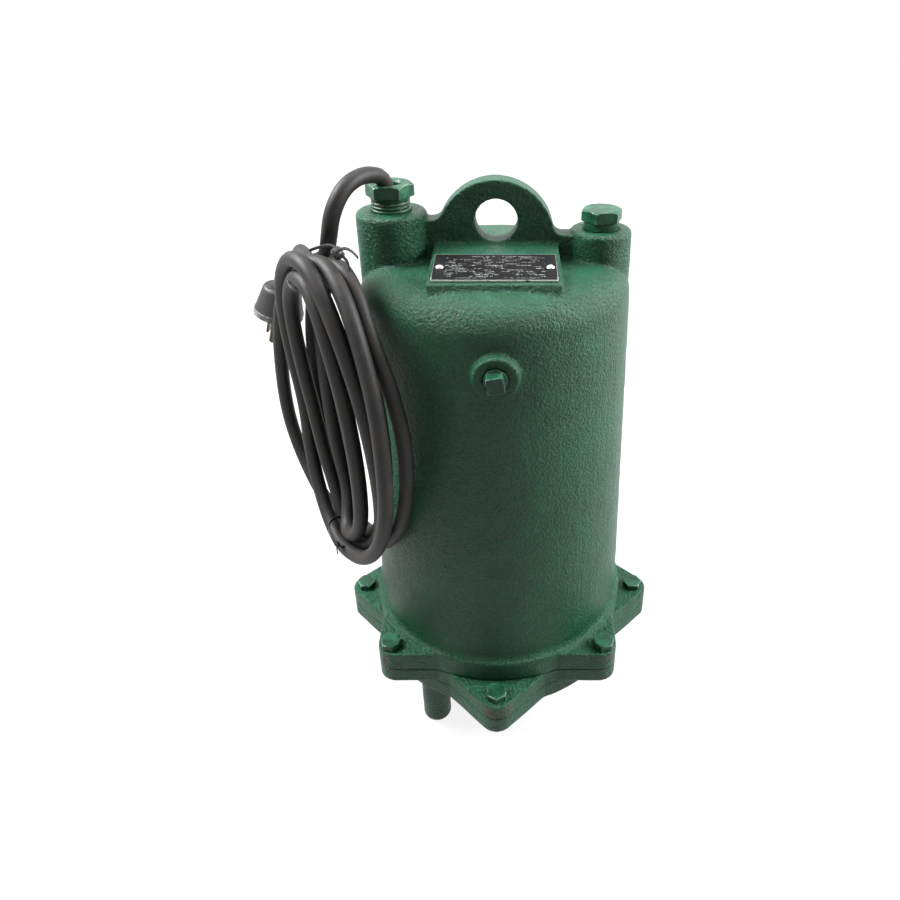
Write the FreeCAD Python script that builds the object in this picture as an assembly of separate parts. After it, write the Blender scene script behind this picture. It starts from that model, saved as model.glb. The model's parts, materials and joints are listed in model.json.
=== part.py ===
# Submersible sump pump: cast motor housing, seal plate and volute bolted in a stack, with its coiled cord.
# Millimetres, +Z up. The origin is under the middle of the pump on the floor, the cord left out of account.
import FreeCAD, Part
import math
import os

V = FreeCAD.Vector
UP = V(0, 0, 1)
X_AXIS = V(1, 0, 0)
Y_AXIS = V(0, 1, 0)

# Clearances
running_clearance = 0.03
fit_clearance = 0.1
seat_gap = 0.3

# Stack of flanges, from the floor up
foot_height = 38.0
volute_flange_thickness = 12.7
seal_plate_thickness = 11.3
housing_flange_thickness = 14.0
flange_rim_overhang = 3.3
flange_rim_rise = 1.6
lobe_corner_radius = 12.0
housing_lobe_margin = 7.8
volute_lobe_margin = 10.06
bolt_stand_off = 15.15

# Flange bolts, 5/16 in hex heads
bolt_radius = 3.97
bolt_head_flats = 12.7
bolt_head_height = 4.8
bolt_hole_clearance = 0.4
housing_bolt_grip = 6.5
volute_bolt_grip = 8.0

# Motor housing casting
housing_foot_radius = 88.9
housing_draft = 0.0225
housing_height = 257.0
housing_wall = 6.5
deck_thickness = 9.5
deck_crown = 2.0
shoulder_radius = 20.0
inner_shoulder_radius = 13.5
foot_fillet_radius = 3.0
rib_count = 4
rib_width = 16.0
first_rib_azimuth = 45.0

# Bosses on the deck
gland_boss_overhang = 0.2
gland_boss_radius = 21.4
gland_boss_rise = 27.3
port_boss_overhang = 0.0
port_boss_radius = 18.8
port_boss_rise = 16.2
boss_edge_radius = 3.0
boss_depth_inside = 13.0

# Lifting lug
lug_thickness = 15.0
lug_centre_x = 0.5
lug_centre_rise = 11.0
lug_radius = 35.5
lug_hole_x = 1.0
lug_hole_rise = 22.5
lug_hole_radius = 12.8
lug_valley_fillet = 6.0
gland_valley_rise = 22.5
port_valley_rise = 13.5

# Nameplate and its pad
plate_length = 70.0
plate_width = 33.0
plate_thickness = 1.2
plate_centre_x = 0.9
plate_side_margin = 2.5
plate_front_y = -58.3
plate_front_rise = 4.3
plate_tilt = 6.3
pad_front_margin = 2.4
pad_front_flare = 2.5
rivet_inset = 3.7
rivet_head_radius = 2.35
rivet_head_height = 1.3
rivet_shank_radius = 1.2
rivet_depth = 5.0

# Oil port on the front wall
oil_boss_x = 1.6
oil_boss_drop = 41.7
oil_boss_root_radius = 14.2
oil_boss_face_radius = 12.9
oil_boss_proud = 4.9
oil_plug_radius = 6.8
oil_plug_depth = 13.0
oil_plug_square = 9.6
oil_plug_proud = 7.0
oil_plug_turn = 10.0

# Cord gland in the left boss
gland_flats = 25.4
gland_head_height = 7.8
gland_thread_radius = 11.75
gland_thread_below = 6.8
gland_neck = 8.4
gland_nut_bore = 7.0
gland_washer_thickness = 1.5
grommet_height = 12.0
grommet_clearance = 0.25
lead_in_bore = 7.0
lead_in_length = 52.0

# Plug of the right boss
port_plug_flats = 22.2
port_plug_head_height = 7.0
port_plug_neck = 4.9
port_plug_radius = 10.5
port_plug_depth = 19.0
port_plug_turn = 10.9

# Seal plate
spigot_land = 5.5
spigot_wall = 5.9
spigot_height = 8.0
hub_radius = 32.0
hub_lip = 2.2
seal_recess_radius = 19.0
seal_recess_depth = 5.3
seal_cup_radius = 17.5
seal_cup_height = 7.5
seal_plate_shaft_bore = 10.0
lower_bearing_rise = 6.0
housing_ring_section = 1.2
volute_ring_section = 1.5
volute_ring_margin = 7.5

# Ball bearings, 17 x 40 x 12
bearing_bore_radius = 8.5
bearing_outer_radius = 20.0
bearing_width = 12.0
bearing_shoulder_gap = 2.55
ball_radius = 3.35
ball_count = 8
ball_clearance = 0.1
cage_wall = 1.8
cage_height = 9.4
retaining_ring_thickness = 1.8
retaining_ring_groove = 1.3

# Shaft and rotor
pump_shaft_step = 0.56
rotor_shaft_step = 1.0
shaft_past_nut = 1.5
rotor_radius = 34.7
air_gap = 0.4
end_ring_height = 6.0
end_ring_outer = 33.0
end_ring_inner = 22.0
core_overhang = 1.0

# Stator
stator_wall_gap = 12.4
winding_inner = 38.0
winding_bolt_clearance = 0.7
upper_winding_inset = 2.5
lower_winding_clearance = 11.0
lower_winding_height = 25.0
upper_winding_height = 20.0
winding_corner = 6.0
stator_bolt_inset = 5.4
stator_bolt_radius = 2.5
stator_bolt_head_radius = 4.4
stator_bolt_head_height = 4.0
stator_bolt_grip = 14.0

# Upper bearing bracket
bracket_gap = 7.0
bracket_rim_thickness = 6.0
bracket_rim_inset = 10.5
bracket_rim_width = 9.5
bracket_hub_radius = 26.0
bracket_spoke_width = 14.0
bracket_lip = 3.0
bracket_lip_bore = 12.5
upper_bearing_rise = 7.0
wave_washer_thickness = 1.6
wave_washer_play = 0.4
bracket_screw_radius = 2.0
bracket_screw_head_radius = 3.5
bracket_screw_head_height = 3.0
bracket_screw_grip = 5.0
rib_rise = 17.0

# Capacitor on its clip
capacitor_radius = 20.0
capacitor_height = 44.0
capacitor_wall_gap = 8.3
capacitor_headroom = 11.5
capacitor_terminal_radius = 2.0
capacitor_terminal_height = 6.0
capacitor_terminal_spacing = 16.0
clip_thickness = 2.0
clip_end_margin = 9.0
clip_width = 18.0
clip_band_rise = 12.0
clip_band_height = 12.0
clip_band_wall = 1.5
clip_screw_inset = 8.0
clip_screw_radius = 2.0
clip_screw_head_radius = 3.5
clip_screw_head_height = 2.5
clip_screw_grip = 7.0

# Thermal protector, leads and splices
protector_length = 14.0
protector_width = 10.0
protector_height = 6.0
lead_radius = 1.3
lead_spread = 9.0
lead_bundle_radius = 2.4
splice_radius = 2.6
splice_length = 16.0
splice_drop = 16.0

# Mechanical seal
seal_seat_radius = 15.8
seal_seat_bore = 9.0
seal_seat_height = 5.9
seal_head_radius = 14.0
seal_head_height = 6.0
seal_face_gap = 0.03
spring_wire_radius = 0.8
spring_radius = 11.5
spring_turns = 2

# Impeller, its nut and key
impeller_radius = 54.0
impeller_floor_gap = 3.0
blade_height = 14.0
blade_thickness = 3.5
blade_count = 5
blade_inner_radius = 11.0
blade_sweep = 55.0
blade_bow = 9.0
shroud_thickness = 5.0
impeller_hub_radius = 13.0
impeller_hub_floor_gap = 8.0
impeller_hub_rise = 1.0
impeller_washer_thickness = 1.5
impeller_washer_radius = 11.5
impeller_nut_flats = 19.0
impeller_nut_height = 5.0
key_width = 3.2
key_depth = 2.0
key_length = 11.0
key_rise = 2.0

# Volute
volute_chamber_depth = 30.7
volute_floor_thickness = 6.0
volute_chamber_radius = 62.0
bowl_wall = 6.0
bowl_flare = 6.0
suction_radius = 25.4
suction_neck_wall = 8.6
suction_neck_length = 6.0
leg_radius = 10.0
leg_circle_radius = 81.0
leg_count = 3
first_leg_azimuth = -4.0
leg_foot_rounding = 4.0
discharge_x = -49.0
discharge_rim_gap = 3.85
discharge_boss_wall = 9.8
discharge_thread_radius = 22.2
discharge_thread_length = 30.0
discharge_thread_step = 3.2
discharge_top = 100.0
channel_x = -47.0
channel_inner_width = 30.0
channel_wall = 6.0
channel_height = 24.0

# Cord, its coil, plug and ties
cord_radius = 4.7
coil_azimuth = -140.0
coil_back = 95.5
coil_layer_step = 10.6
coil_loops_per_layer = 2.5
coil_left = -122.4
coil_left_step = 26.0
coil_left_height = 222.0
coil_bottom = 132.5
coil_bottom_step = 11.2
coil_bottom_along = -40.0
coil_right = 54.0
coil_right_step = 24.0
coil_right_height = 248.0
coil_top = 349.0
coil_top_step = 12.4
coil_top_along = -11.0
coil_top_along_step = 6.0
coil_start_along = -40.2
coil_start_height = 351.5
coil_start_slope = 39.0
coil_climb_rise = 0.1
plug_face_centre = V(-155.0, 46.0, 272.7)
plug_axis = V(0.268, 0, 0.963)
plug_grip_axis = V(0.486, -0.628, 0.608)
plug_face_radius = 17.0
plug_face_thickness = 4.0
plug_body_height = 18.0
plug_body_top_radius = 12.5
plug_grip_root_radius = 8.5
plug_grip_end_radius = 6.3
plug_grip_length = 20.0
blade_spacing = 12.7
plug_blade_width = 6.35
plug_blade_thickness = 1.5
plug_blade_length = 16.5
plug_blade_back = 4.0
ground_pin_radius = 2.4
ground_pin_length = 18.5
ground_pin_front = 7.9
tie_width = 3.6
tie_thickness = 1.3
tie_head = 6.5
tie_slack = 0.5
tie_top_room = 5.5  # below the innermost turn, which slants where the tie crosses it

# Radii worked out from the values above
flange_rim_radius = housing_foot_radius + flange_rim_overhang
bolt_circle_radius = housing_foot_radius + bolt_stand_off
corner_cut = lobe_corner_radius * (math.sqrt(2) - 1)
housing_flange_half_width = (bolt_circle_radius + housing_lobe_margin + corner_cut) / math.sqrt(2)
volute_flange_half_width = (bolt_circle_radius + volute_lobe_margin + corner_cut) / math.sqrt(2)
spigot_radius = housing_foot_radius - spigot_land
volute_ring_radius = volute_chamber_radius + volute_ring_margin
ball_pitch_radius = (bearing_bore_radius + bearing_outer_radius) / 2
bearing_inner_shoulder = ball_pitch_radius - bearing_shoulder_gap
bearing_outer_shoulder = ball_pitch_radius + bearing_shoulder_gap
pump_shaft_radius = bearing_bore_radius - pump_shaft_step
rotor_shaft_radius = bearing_bore_radius + rotor_shaft_step
stator_radius = housing_foot_radius - housing_wall - stator_wall_gap
stator_bolt_circle = stator_radius - stator_bolt_inset
lower_winding_outer = stator_bolt_circle - stator_bolt_head_radius - winding_bolt_clearance
upper_winding_outer = lower_winding_outer - upper_winding_inset
bracket_rim_outer = stator_radius - bracket_rim_inset
bracket_rim_inner = bracket_rim_outer - bracket_rim_width
bracket_screw_circle = (bracket_rim_outer + bracket_rim_inner) / 2
protector_x = -(winding_inner + upper_winding_outer) / 2
clip_screw_circle = bracket_rim_inner + clip_screw_inset
clip_length = math.sqrt(2) * clip_screw_circle + 2 * clip_end_margin
grommet_radius = gland_thread_radius - grommet_clearance
bowl_bottom_radius = volute_chamber_radius + bowl_wall
bowl_top_radius = bowl_bottom_radius + bowl_flare
suction_neck_radius = suction_radius + suction_neck_wall
discharge_boss_radius = discharge_thread_radius + discharge_boss_wall
discharge_passage_radius = discharge_thread_radius - discharge_thread_step
discharge_stand_off = flange_rim_radius + discharge_rim_gap + discharge_boss_radius
discharge_y = math.sqrt(discharge_stand_off ** 2 - discharge_x ** 2)
lobe_reach = bolt_circle_radius + volute_lobe_margin
rear_reach = discharge_y + discharge_boss_radius
pump_axis_y = -(rear_reach - lobe_reach) / 2

# Heights worked out from the floor up and from the deck down; the motor's core takes the length between
volute_flange_top = foot_height + volute_flange_thickness
seal_plate_top = volute_flange_top + seal_plate_thickness
housing_flange_top = seal_plate_top + housing_flange_thickness
volute_floor = volute_flange_top - volute_chamber_depth
shroud_bottom = volute_floor + impeller_floor_gap + blade_height
impeller_hub_bottom = volute_floor + impeller_hub_floor_gap
impeller_hub_top = shroud_bottom + shroud_thickness + impeller_hub_rise
key_bottom = impeller_hub_bottom + key_rise
shaft_end_height = impeller_hub_bottom - impeller_washer_thickness - impeller_nut_height - shaft_past_nut
lower_bearing_bottom = seal_plate_top + lower_bearing_rise
hub_height = lower_bearing_rise + bearing_width + retaining_ring_thickness + hub_lip
core_bottom = seal_plate_top + hub_height + lower_winding_clearance + lower_winding_height
deck_top = housing_flange_top + housing_height
cavity_top = deck_top - deck_thickness
capacitor_top = cavity_top - capacitor_headroom - capacitor_terminal_height
capacitor_bottom = capacitor_top - capacitor_height
rib_top_height = capacitor_bottom - clip_thickness
ledge_height = rib_top_height - rib_rise
bracket_height = ledge_height - bracket_rim_thickness
core_top = bracket_height - bracket_gap - upper_winding_height
core_length = core_top - core_bottom
upper_bearing_bottom = bracket_height + upper_bearing_rise
upper_bearing_top = upper_bearing_bottom + bearing_width
bracket_pocket_top = upper_bearing_top + wave_washer_thickness + wave_washer_play
deck_radius = housing_foot_radius - housing_draft * housing_height
capacitor_y = deck_radius - housing_wall - capacitor_wall_gap - capacitor_radius
gland_boss_x = gland_boss_radius - deck_radius - gland_boss_overhang
port_boss_x = deck_radius + port_boss_overhang - port_boss_radius
gland_boss_top = deck_top + gland_boss_rise
port_boss_top = deck_top + port_boss_rise
oil_boss_height = deck_top - oil_boss_drop
gland_washer_top = gland_boss_top - gland_thread_below
gland_washer_bottom = gland_washer_top - gland_washer_thickness
grommet_bottom = gland_washer_bottom - grommet_height
cord_start_height = gland_washer_bottom
jacket_end_height = cord_start_height - lead_in_length
splice_top = jacket_end_height - splice_drop
pad_length = plate_length + 2 * plate_side_margin
rivet_spacing = plate_length - 2 * rivet_inset
rib_azimuths = [first_rib_azimuth + 360.0 / rib_count * i for i in range(rib_count)]
housing_bolt_azimuths = [45.0, 135.0, 225.0, 315.0]
volute_bolt_azimuths = [0.0, 90.0, 180.0, 270.0]


def polar(radius, azimuth, height=0.0):
    angle = math.radians(azimuth)
    return V(radius * math.cos(angle), radius * math.sin(angle), height)


def cylinder(radius, bottom, top, x=0.0, y=0.0):
    return Part.makeCylinder(radius, top - bottom, V(x, y, bottom))


def ring(outer, inner, bottom, top, x=0.0, y=0.0):
    return cylinder(outer, bottom, top, x, y).cut(cylinder(inner, bottom - 1, top + 1, x, y))


def box(x0, x1, y0, y1, z0, z1):
    return Part.makeBox(x1 - x0, y1 - y0, z1 - z0, V(x0, y0, z0))


def prism(points, direction):
    outline = Part.makePolygon(points + [points[0]])
    return Part.Face(outline).extrude(direction)


def turned_profile(points):
    # A closed outline of (radius, height) pairs, turned about the pump axis.
    outline = Part.makePolygon([V(r, 0, z) for r, z in points + [points[0]]])
    return Part.Face(outline).revolve(V(0, 0, 0), UP, 360)


def hexagon(flats, bottom, top, x=0.0, y=0.0, turn=0.0):
    corner = flats / math.sqrt(3)
    points = [V(x, y, bottom) + polar(corner, turn + 60 * i) for i in range(6)]
    blank = prism(points, V(0, 0, top - bottom))
    # The top edge is chamfered round, as on any turned hex head.
    chamfer = corner - flats / 2 * 0.97
    cone_height = chamfer * 0.5
    body = cylinder(corner + 1, bottom, top - cone_height, x, y)
    cap = Part.makeCone(corner, corner - chamfer, cone_height, V(x, y, top - cone_height))
    return blank.common(body.fuse(cap))


def rounded_square(half_width, corner_radius, bottom, top, turn=0.0):
    blank = box(-half_width, half_width, -half_width, half_width, bottom, top)
    corners = [e for e in blank.Edges if abs(e.Vertexes[0].X - e.Vertexes[-1].X) < 1e-6
               and abs(e.Vertexes[0].Y - e.Vertexes[-1].Y) < 1e-6]
    rounded = blank.makeFillet(corner_radius, corners)
    rounded.rotate(V(0, 0, 0), UP, turn)
    return rounded


def fused(shapes):
    whole = shapes[0]
    for shape in shapes[1:]:
        whole = whole.fuse(shape)
    return whole.removeSplitter()


def wall_radius(height):
    return housing_foot_radius - housing_draft * (height - housing_flange_top)


def axis_frame(origin, axis, side):
    # Carries +Z to the given axis and +X as near as it can to the given side.
    z = V(axis)
    z.normalize()
    x = side - z * side.dot(z)
    x.normalize()
    y = z.cross(x)
    matrix = FreeCAD.Matrix(x.x, y.x, z.x, origin.x, x.y, y.y, z.y, origin.y, x.z, y.z, z.z, origin.z)
    return FreeCAD.Placement(matrix)


def moved(shape, placement):
    copy = shape.copy()
    copy.Placement = placement.multiply(copy.Placement)
    return copy


# Routes: a cord's tube is straight runs joined by tangent arcs, each arc as large as its two runs allow.
def route_edges(points, label):
    edges = []
    radii = []
    previous = points[0]
    for i in range(1, len(points) - 1):
        before = points[i] - points[i - 1]
        after = points[i + 1] - points[i]
        tangent_length = 0.45 * min(before.Length, after.Length)
        turn = before.getAngle(after)
        radius = tangent_length / math.tan(turn / 2)
        radii.append(round(radius, 1))
        before.normalize()
        after.normalize()
        arc_start = points[i] - before * tangent_length
        arc_end = points[i] + after * tangent_length
        inward = after - before
        inward.normalize()
        arc_middle = points[i] + inward * (radius / math.cos(turn / 2) - radius)
        edges.append(Part.LineSegment(previous, arc_start).toShape())
        edges.append(Part.Arc(arc_start, arc_middle, arc_end).toShape())
        previous = arc_end
    edges.append(Part.LineSegment(previous, points[-1]).toShape())
    if label:
        print(label, "bend radii", radii)
    return edges


def tube_along(edges, radius, label=""):
    spine = Part.Wire(edges)
    start = edges[0].valueAt(edges[0].FirstParameter)
    heading = edges[0].tangentAt(edges[0].FirstParameter)
    section = Part.Wire([Part.Circle(start, heading, radius).toShape()])
    sweep = Part.BRepOffsetAPI.MakePipeShell(spine)
    sweep.add(section)
    sweep.build()
    sweep.makeSolid()
    solid = Part.Solid(sweep.shape().Shells[0]) if not sweep.shape().Solids else sweep.shape().Solids[0]
    if solid.Volume < 0:
        solid.reverse()
    if label:
        expected = math.pi * radius ** 2 * spine.Length
        print(label, "length", round(spine.Length, 1), "volume ratio", round(solid.Volume / expected, 5))
    return solid


def biarc_edges(start, start_heading, end, end_heading):
    # Two arcs that leave along one heading, meet in a common tangent and arrive along the other.
    across = end - start
    headings = start_heading + end_heading
    spread = 2 * (1 - start_heading.dot(end_heading))
    along = across.dot(headings)
    reach = (math.sqrt(along ** 2 + spread * across.dot(across)) - along) / spread
    first_corner = start + start_heading * reach
    second_corner = end - end_heading * reach
    joint = (first_corner + second_corner) * 0.5
    return [arc_at_corner(start, first_corner, joint), arc_at_corner(joint, second_corner, end)]


def arc_at_corner(start, corner, end):
    before = corner - start
    after = end - corner
    turn = before.getAngle(after)
    radius = before.Length / math.tan(turn / 2)
    inward = (start + end) * 0.5 - corner
    inward.normalize()
    middle = corner + inward * (radius / math.cos(turn / 2) - radius)
    return Part.Arc(start, middle, end).toShape()


# The coil hangs in an upright plane that faces out at its azimuth.
coil_outward = polar(1, coil_azimuth)
coil_along = V(-coil_outward.y, coil_outward.x, 0)


def coil_point(along, height, depth):
    return coil_outward * depth + coil_along * along + V(0, 0, height)


def coil_heading(along, rise, depth=0.0):
    heading = coil_along * along + V(0, 0, rise) + coil_outward * depth
    heading.normalize()
    return heading


def coil_station(side, wound_in, depth, climb=0.0):
    if side == "left":
        place = coil_point(coil_left + coil_left_step * wound_in, coil_left_height, depth)
        return place, coil_heading(0, -1, climb)
    if side == "bottom":
        place = coil_point(coil_bottom_along, coil_bottom + coil_bottom_step * wound_in, depth)
        return place, coil_heading(1, 0, climb)
    if side == "right":
        place = coil_point(coil_right - coil_right_step * wound_in, coil_right_height, depth)
        return place, coil_heading(0, 1, climb)
    place = coil_point(coil_top_along - coil_top_along_step * wound_in, coil_top - coil_top_step * wound_in, depth)
    return place, coil_heading(-1, 0, climb)


def coil_stations():
    # Wound in on the back layer, climbing where the spiral turns back, wound out on the front layer.
    slope = math.radians(coil_start_slope)
    heading = coil_heading(-math.cos(slope), -math.sin(slope))
    start = coil_point(coil_start_along, coil_start_height, coil_back)
    stations = [(start, heading), (start + heading * 2 * cord_radius, heading)]
    sides = ["left", "bottom", "right", "top"]
    quarters = int(round(coil_loops_per_layer * 8))
    for quarter in range(1, quarters + 1):
        side = sides[(quarter - 1) % 4]
        wound_in = quarter / 4
        if wound_in < coil_loops_per_layer:
            stations.append(coil_station(side, wound_in, coil_back))
        elif wound_in == coil_loops_per_layer:
            middle = coil_back + coil_layer_step / 2
            stations.append(coil_station(side, wound_in, middle, coil_climb_rise))
        else:
            wound_out = 2 * coil_loops_per_layer - wound_in
            stations.append(coil_station(side, wound_out, coil_back + coil_layer_step))
    end, heading = stations[-1]
    stations.append((end + heading * 2 * cord_radius, heading))
    return stations


def least_gap(edges, radius, step=4.0, apart=60.0):
    # The least gap between turns, measured on points along the line.
    samples = []
    travelled = 0.0
    for edge in edges:
        count = max(2, int(edge.Length / step))
        for i in range(count):
            parameter = edge.FirstParameter + (edge.LastParameter - edge.FirstParameter) * i / count
            samples.append((travelled + edge.Length * i / count, edge.valueAt(parameter)))
        travelled += edge.Length
    least = 1e9
    for i, (here, a) in enumerate(samples):
        for there, b in samples[i + 1:]:
            if there - here > apart:
                least = min(least, a.distanceToPoint(b))
    return least - 2 * radius


def coil_edges():
    stations = coil_stations()
    edges = [Part.LineSegment(stations[0][0], stations[1][0]).toShape()]
    for (a, heading_a), (b, heading_b) in zip(stations[1:-2], stations[2:-1]):
        edges += biarc_edges(a, heading_a, b, heading_b)
    edges.append(Part.LineSegment(stations[-2][0], stations[-1][0]).toShape())
    return edges


# Castings
def flange_outline(bottom, top, round_rim, square, diamond):
    shapes = [cylinder(flange_rim_radius, bottom, top)] if round_rim else []
    if square:
        shapes.append(rounded_square(housing_flange_half_width, lobe_corner_radius, bottom, top))
    if diamond:
        shapes.append(rounded_square(volute_flange_half_width, lobe_corner_radius, bottom, top, 45))
    return fused(shapes)


def hole_group(radius, circle, azimuths, bottom, top):
    return [cylinder(radius, bottom, top, p.x, p.y) for p in [polar(circle, a) for a in azimuths]]


def housing_shell():
    edge_height = deck_top - deck_crown
    outer = turned_profile([(0, seal_plate_top), (housing_foot_radius, seal_plate_top),
                            (housing_foot_radius, housing_flange_top), (wall_radius(edge_height), edge_height),
                            (deck_radius - 1.6 * shoulder_radius, edge_height + deck_crown * 0.45),
                            (0, deck_top)])
    rim = [e for e in outer.Edges if abs(e.BoundBox.ZMin - edge_height) < 0.01 and e.BoundBox.ZLength < 0.01]
    outer = outer.makeFillet(shoulder_radius, rim)
    cavity_radius_low = wall_radius(housing_flange_top) - housing_wall
    cavity_radius_high = wall_radius(cavity_top) - housing_wall
    cavity = turned_profile([(0, seal_plate_top - 1), (cavity_radius_low, seal_plate_top - 1),
                             (cavity_radius_low, housing_flange_top), (cavity_radius_high, cavity_top),
                             (0, cavity_top)])
    top_rim = [e for e in cavity.Edges if abs(e.BoundBox.ZMin - cavity_top) < 0.01 and e.BoundBox.ZLength < 0.01]
    cavity = cavity.makeFillet(inner_shoulder_radius, top_rim)
    return outer, cavity


def lug_valley(valley_height, side):
    # Where the lug's dome runs into the web beside it, on a concave fillet.
    rise = valley_height + lug_valley_fillet - lug_centre_height()
    reach = math.sqrt((lug_radius + lug_valley_fillet) ** 2 - rise ** 2)
    fillet_x = lug_centre_x + side * reach
    share = lug_radius / (lug_radius + lug_valley_fillet)
    on_web = V(fillet_x, 0, valley_height)
    on_dome = V(lug_centre_x + side * reach * share, 0, lug_centre_height() + rise * share)
    towards = (on_web + on_dome) * 0.5 - V(fillet_x, 0, valley_height + lug_valley_fillet)
    towards.normalize()
    middle = V(fillet_x, 0, valley_height + lug_valley_fillet) + towards * lug_valley_fillet
    return on_web, middle, on_dome


def lug_centre_height():
    return deck_top + lug_centre_rise


def lifting_lug():
    foot = cavity_top + 2
    left_web, left_middle, left_dome = lug_valley(deck_top + gland_valley_rise, -1)
    right_web, right_middle, right_dome = lug_valley(deck_top + port_valley_rise, 1)
    crown = V(lug_centre_x, 0, lug_centre_height() + lug_radius)
    left_end = V(gland_boss_x, 0, left_web.z)
    right_end = V(port_boss_x, 0, right_web.z)
    edges = [Part.LineSegment(V(gland_boss_x, 0, foot), left_end).toShape(),
             Part.LineSegment(left_end, left_web).toShape(),
             Part.Arc(left_web, left_middle, left_dome).toShape(),
             Part.Arc(left_dome, crown, right_dome).toShape(),
             Part.Arc(right_dome, right_middle, right_web).toShape(),
             Part.LineSegment(right_web, right_end).toShape(),
             Part.LineSegment(right_end, V(port_boss_x, 0, foot)).toShape(),
             Part.LineSegment(V(port_boss_x, 0, foot), V(gland_boss_x, 0, foot)).toShape()]
    web = Part.Face(Part.Wire(edges)).extrude(V(0, lug_thickness, 0))
    web.translate(V(0, -lug_thickness / 2, 0))
    return web


def lug_hole():
    return Part.makeCylinder(lug_hole_radius, lug_thickness + 2,
                             V(lug_hole_x, -lug_thickness / 2 - 1, deck_top + lug_hole_rise), Y_AXIS)


def deck_boss(x, radius, top):
    boss = cylinder(radius, cavity_top - boss_depth_inside, top, x)
    rim = [e for e in boss.Edges if abs(e.BoundBox.ZMin - top) < 0.01 and e.BoundBox.ZLength < 0.01]
    return boss.makeFillet(boss_edge_radius, rim)


def plate_plane(y):
    # Height of the plate's underside at a given distance in front of the axis.
    slope = math.tan(math.radians(plate_tilt))
    return deck_top + plate_front_rise - plate_thickness + slope * (y - plate_front_y)


def nameplate_pad():
    front_top = plate_front_y - pad_front_margin
    foot = cavity_top + 2
    points = [V(0, 0, foot), V(0, 0, plate_plane(0)), V(0, front_top, plate_plane(front_top)),
              V(0, front_top - pad_front_flare, deck_top - 2 * deck_crown),
              V(0, front_top - pad_front_flare, foot)]
    pad = prism(points, V(pad_length, 0, 0))
    pad.translate(V(plate_centre_x - pad_length / 2, 0, 0))
    return pad


def plate_frame():
    # Origin at the middle of the plate's underside, +Z out of the plate, +X along it.
    tilt = math.radians(plate_tilt)
    middle_y = plate_front_y + plate_width / 2 * math.cos(tilt)
    origin = V(plate_centre_x, middle_y, plate_plane(middle_y))
    return axis_frame(origin, V(0, -math.sin(tilt), math.cos(tilt)), X_AXIS)


def rivet_places():
    return [-rivet_spacing / 2, rivet_spacing / 2]


def oil_boss_face_y():
    return -(wall_radius(oil_boss_height) + oil_boss_proud)


def oil_boss():
    length = oil_boss_proud + housing_wall / 2
    cone = Part.makeCone(oil_boss_root_radius, oil_boss_face_radius, length,
                         V(oil_boss_x, oil_boss_face_y() + length, oil_boss_height), V(0, -1, 0))
    return cone


def rib_blank(azimuth, inner, bottom, top):
    rib = box(inner, wall_radius(top) - housing_wall / 2, -rib_width / 2, rib_width / 2, bottom, top)
    rib.rotate(V(0, 0, 0), UP, azimuth)
    return rib


def housing_ribs():
    ribs = []
    for azimuth in rib_azimuths:
        ribs.append(rib_blank(azimuth, stator_radius + seat_gap, core_bottom, core_top))
        ribs.append(rib_blank(azimuth, bracket_rim_outer + seat_gap, core_top, ledge_height))
        ribs.append(rib_blank(azimuth, bracket_rim_inner, ledge_height, rib_top_height))
    return ribs


def motor_housing():
    outer, cavity = housing_shell()
    flange = flange_outline(seal_plate_top, housing_flange_top, True, True, False)
    # A round lip stands on the lobes, with a bead in the corner where the wall rises from it.
    lip_top = housing_flange_top + flange_rim_rise
    lip = Part.makeCone(flange_rim_radius, flange_rim_radius - flange_rim_rise / 4, flange_rim_rise,
                        V(0, 0, housing_flange_top))
    foot_bead = Part.makeCone(housing_foot_radius + foot_fillet_radius - flange_rim_rise, housing_foot_radius,
                              foot_fillet_radius, V(0, 0, lip_top))
    shell = fused([outer, flange, lip, foot_bead, oil_boss()]).cut(cavity)
    bosses = [deck_boss(gland_boss_x, gland_boss_radius, gland_boss_top),
              deck_boss(port_boss_x, port_boss_radius, port_boss_top)]
    shell = fused([shell, lifting_lug(), nameplate_pad()] + bosses + housing_ribs())
    spigot_bore = cylinder(spigot_radius + fit_clearance, seal_plate_top - 1,
                           seal_plate_top + spigot_height + seat_gap)
    cuts = [spigot_bore, lug_hole()]
    cuts += hole_group(bolt_radius + bolt_hole_clearance, bolt_circle_radius, housing_bolt_azimuths,
                       seal_plate_top - 1, housing_flange_top + 1)
    cuts.append(cylinder(gland_thread_radius + fit_clearance, grommet_bottom, gland_boss_top + 1, gland_boss_x))
    cuts.append(cylinder(lead_in_bore, cavity_top - boss_depth_inside - 1, grommet_bottom + 1, gland_boss_x))
    cuts.append(cylinder(port_plug_radius + fit_clearance, cavity_top - boss_depth_inside - 1,
                         port_boss_top + 1, port_boss_x))
    oil_bore = Part.makeCylinder(oil_plug_radius + fit_clearance, oil_boss_proud + 4 * housing_wall,
                                 V(oil_boss_x, oil_boss_face_y() - 1, oil_boss_height), Y_AXIS)
    cuts.append(oil_bore)
    for place in rivet_places():
        hole = cylinder(rivet_shank_radius + fit_clearance, -rivet_depth - 0.5, 1, place)
        cuts.append(moved(hole, plate_frame()))
    cuts += hole_group(stator_bolt_radius + fit_clearance, stator_bolt_circle, rib_azimuths,
                       core_top - 1, core_top + stator_bolt_grip + 1)
    cuts += hole_group(bracket_screw_radius + fit_clearance, bracket_screw_circle, rib_azimuths,
                       ledge_height - 1, ledge_height + bracket_screw_grip + 0.5)
    cuts += hole_group(clip_screw_radius + fit_clearance, clip_screw_circle, rib_azimuths[:2],
                       rib_top_height - clip_screw_grip - 0.5, rib_top_height + 1)
    return shell.cut(cuts)


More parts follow.
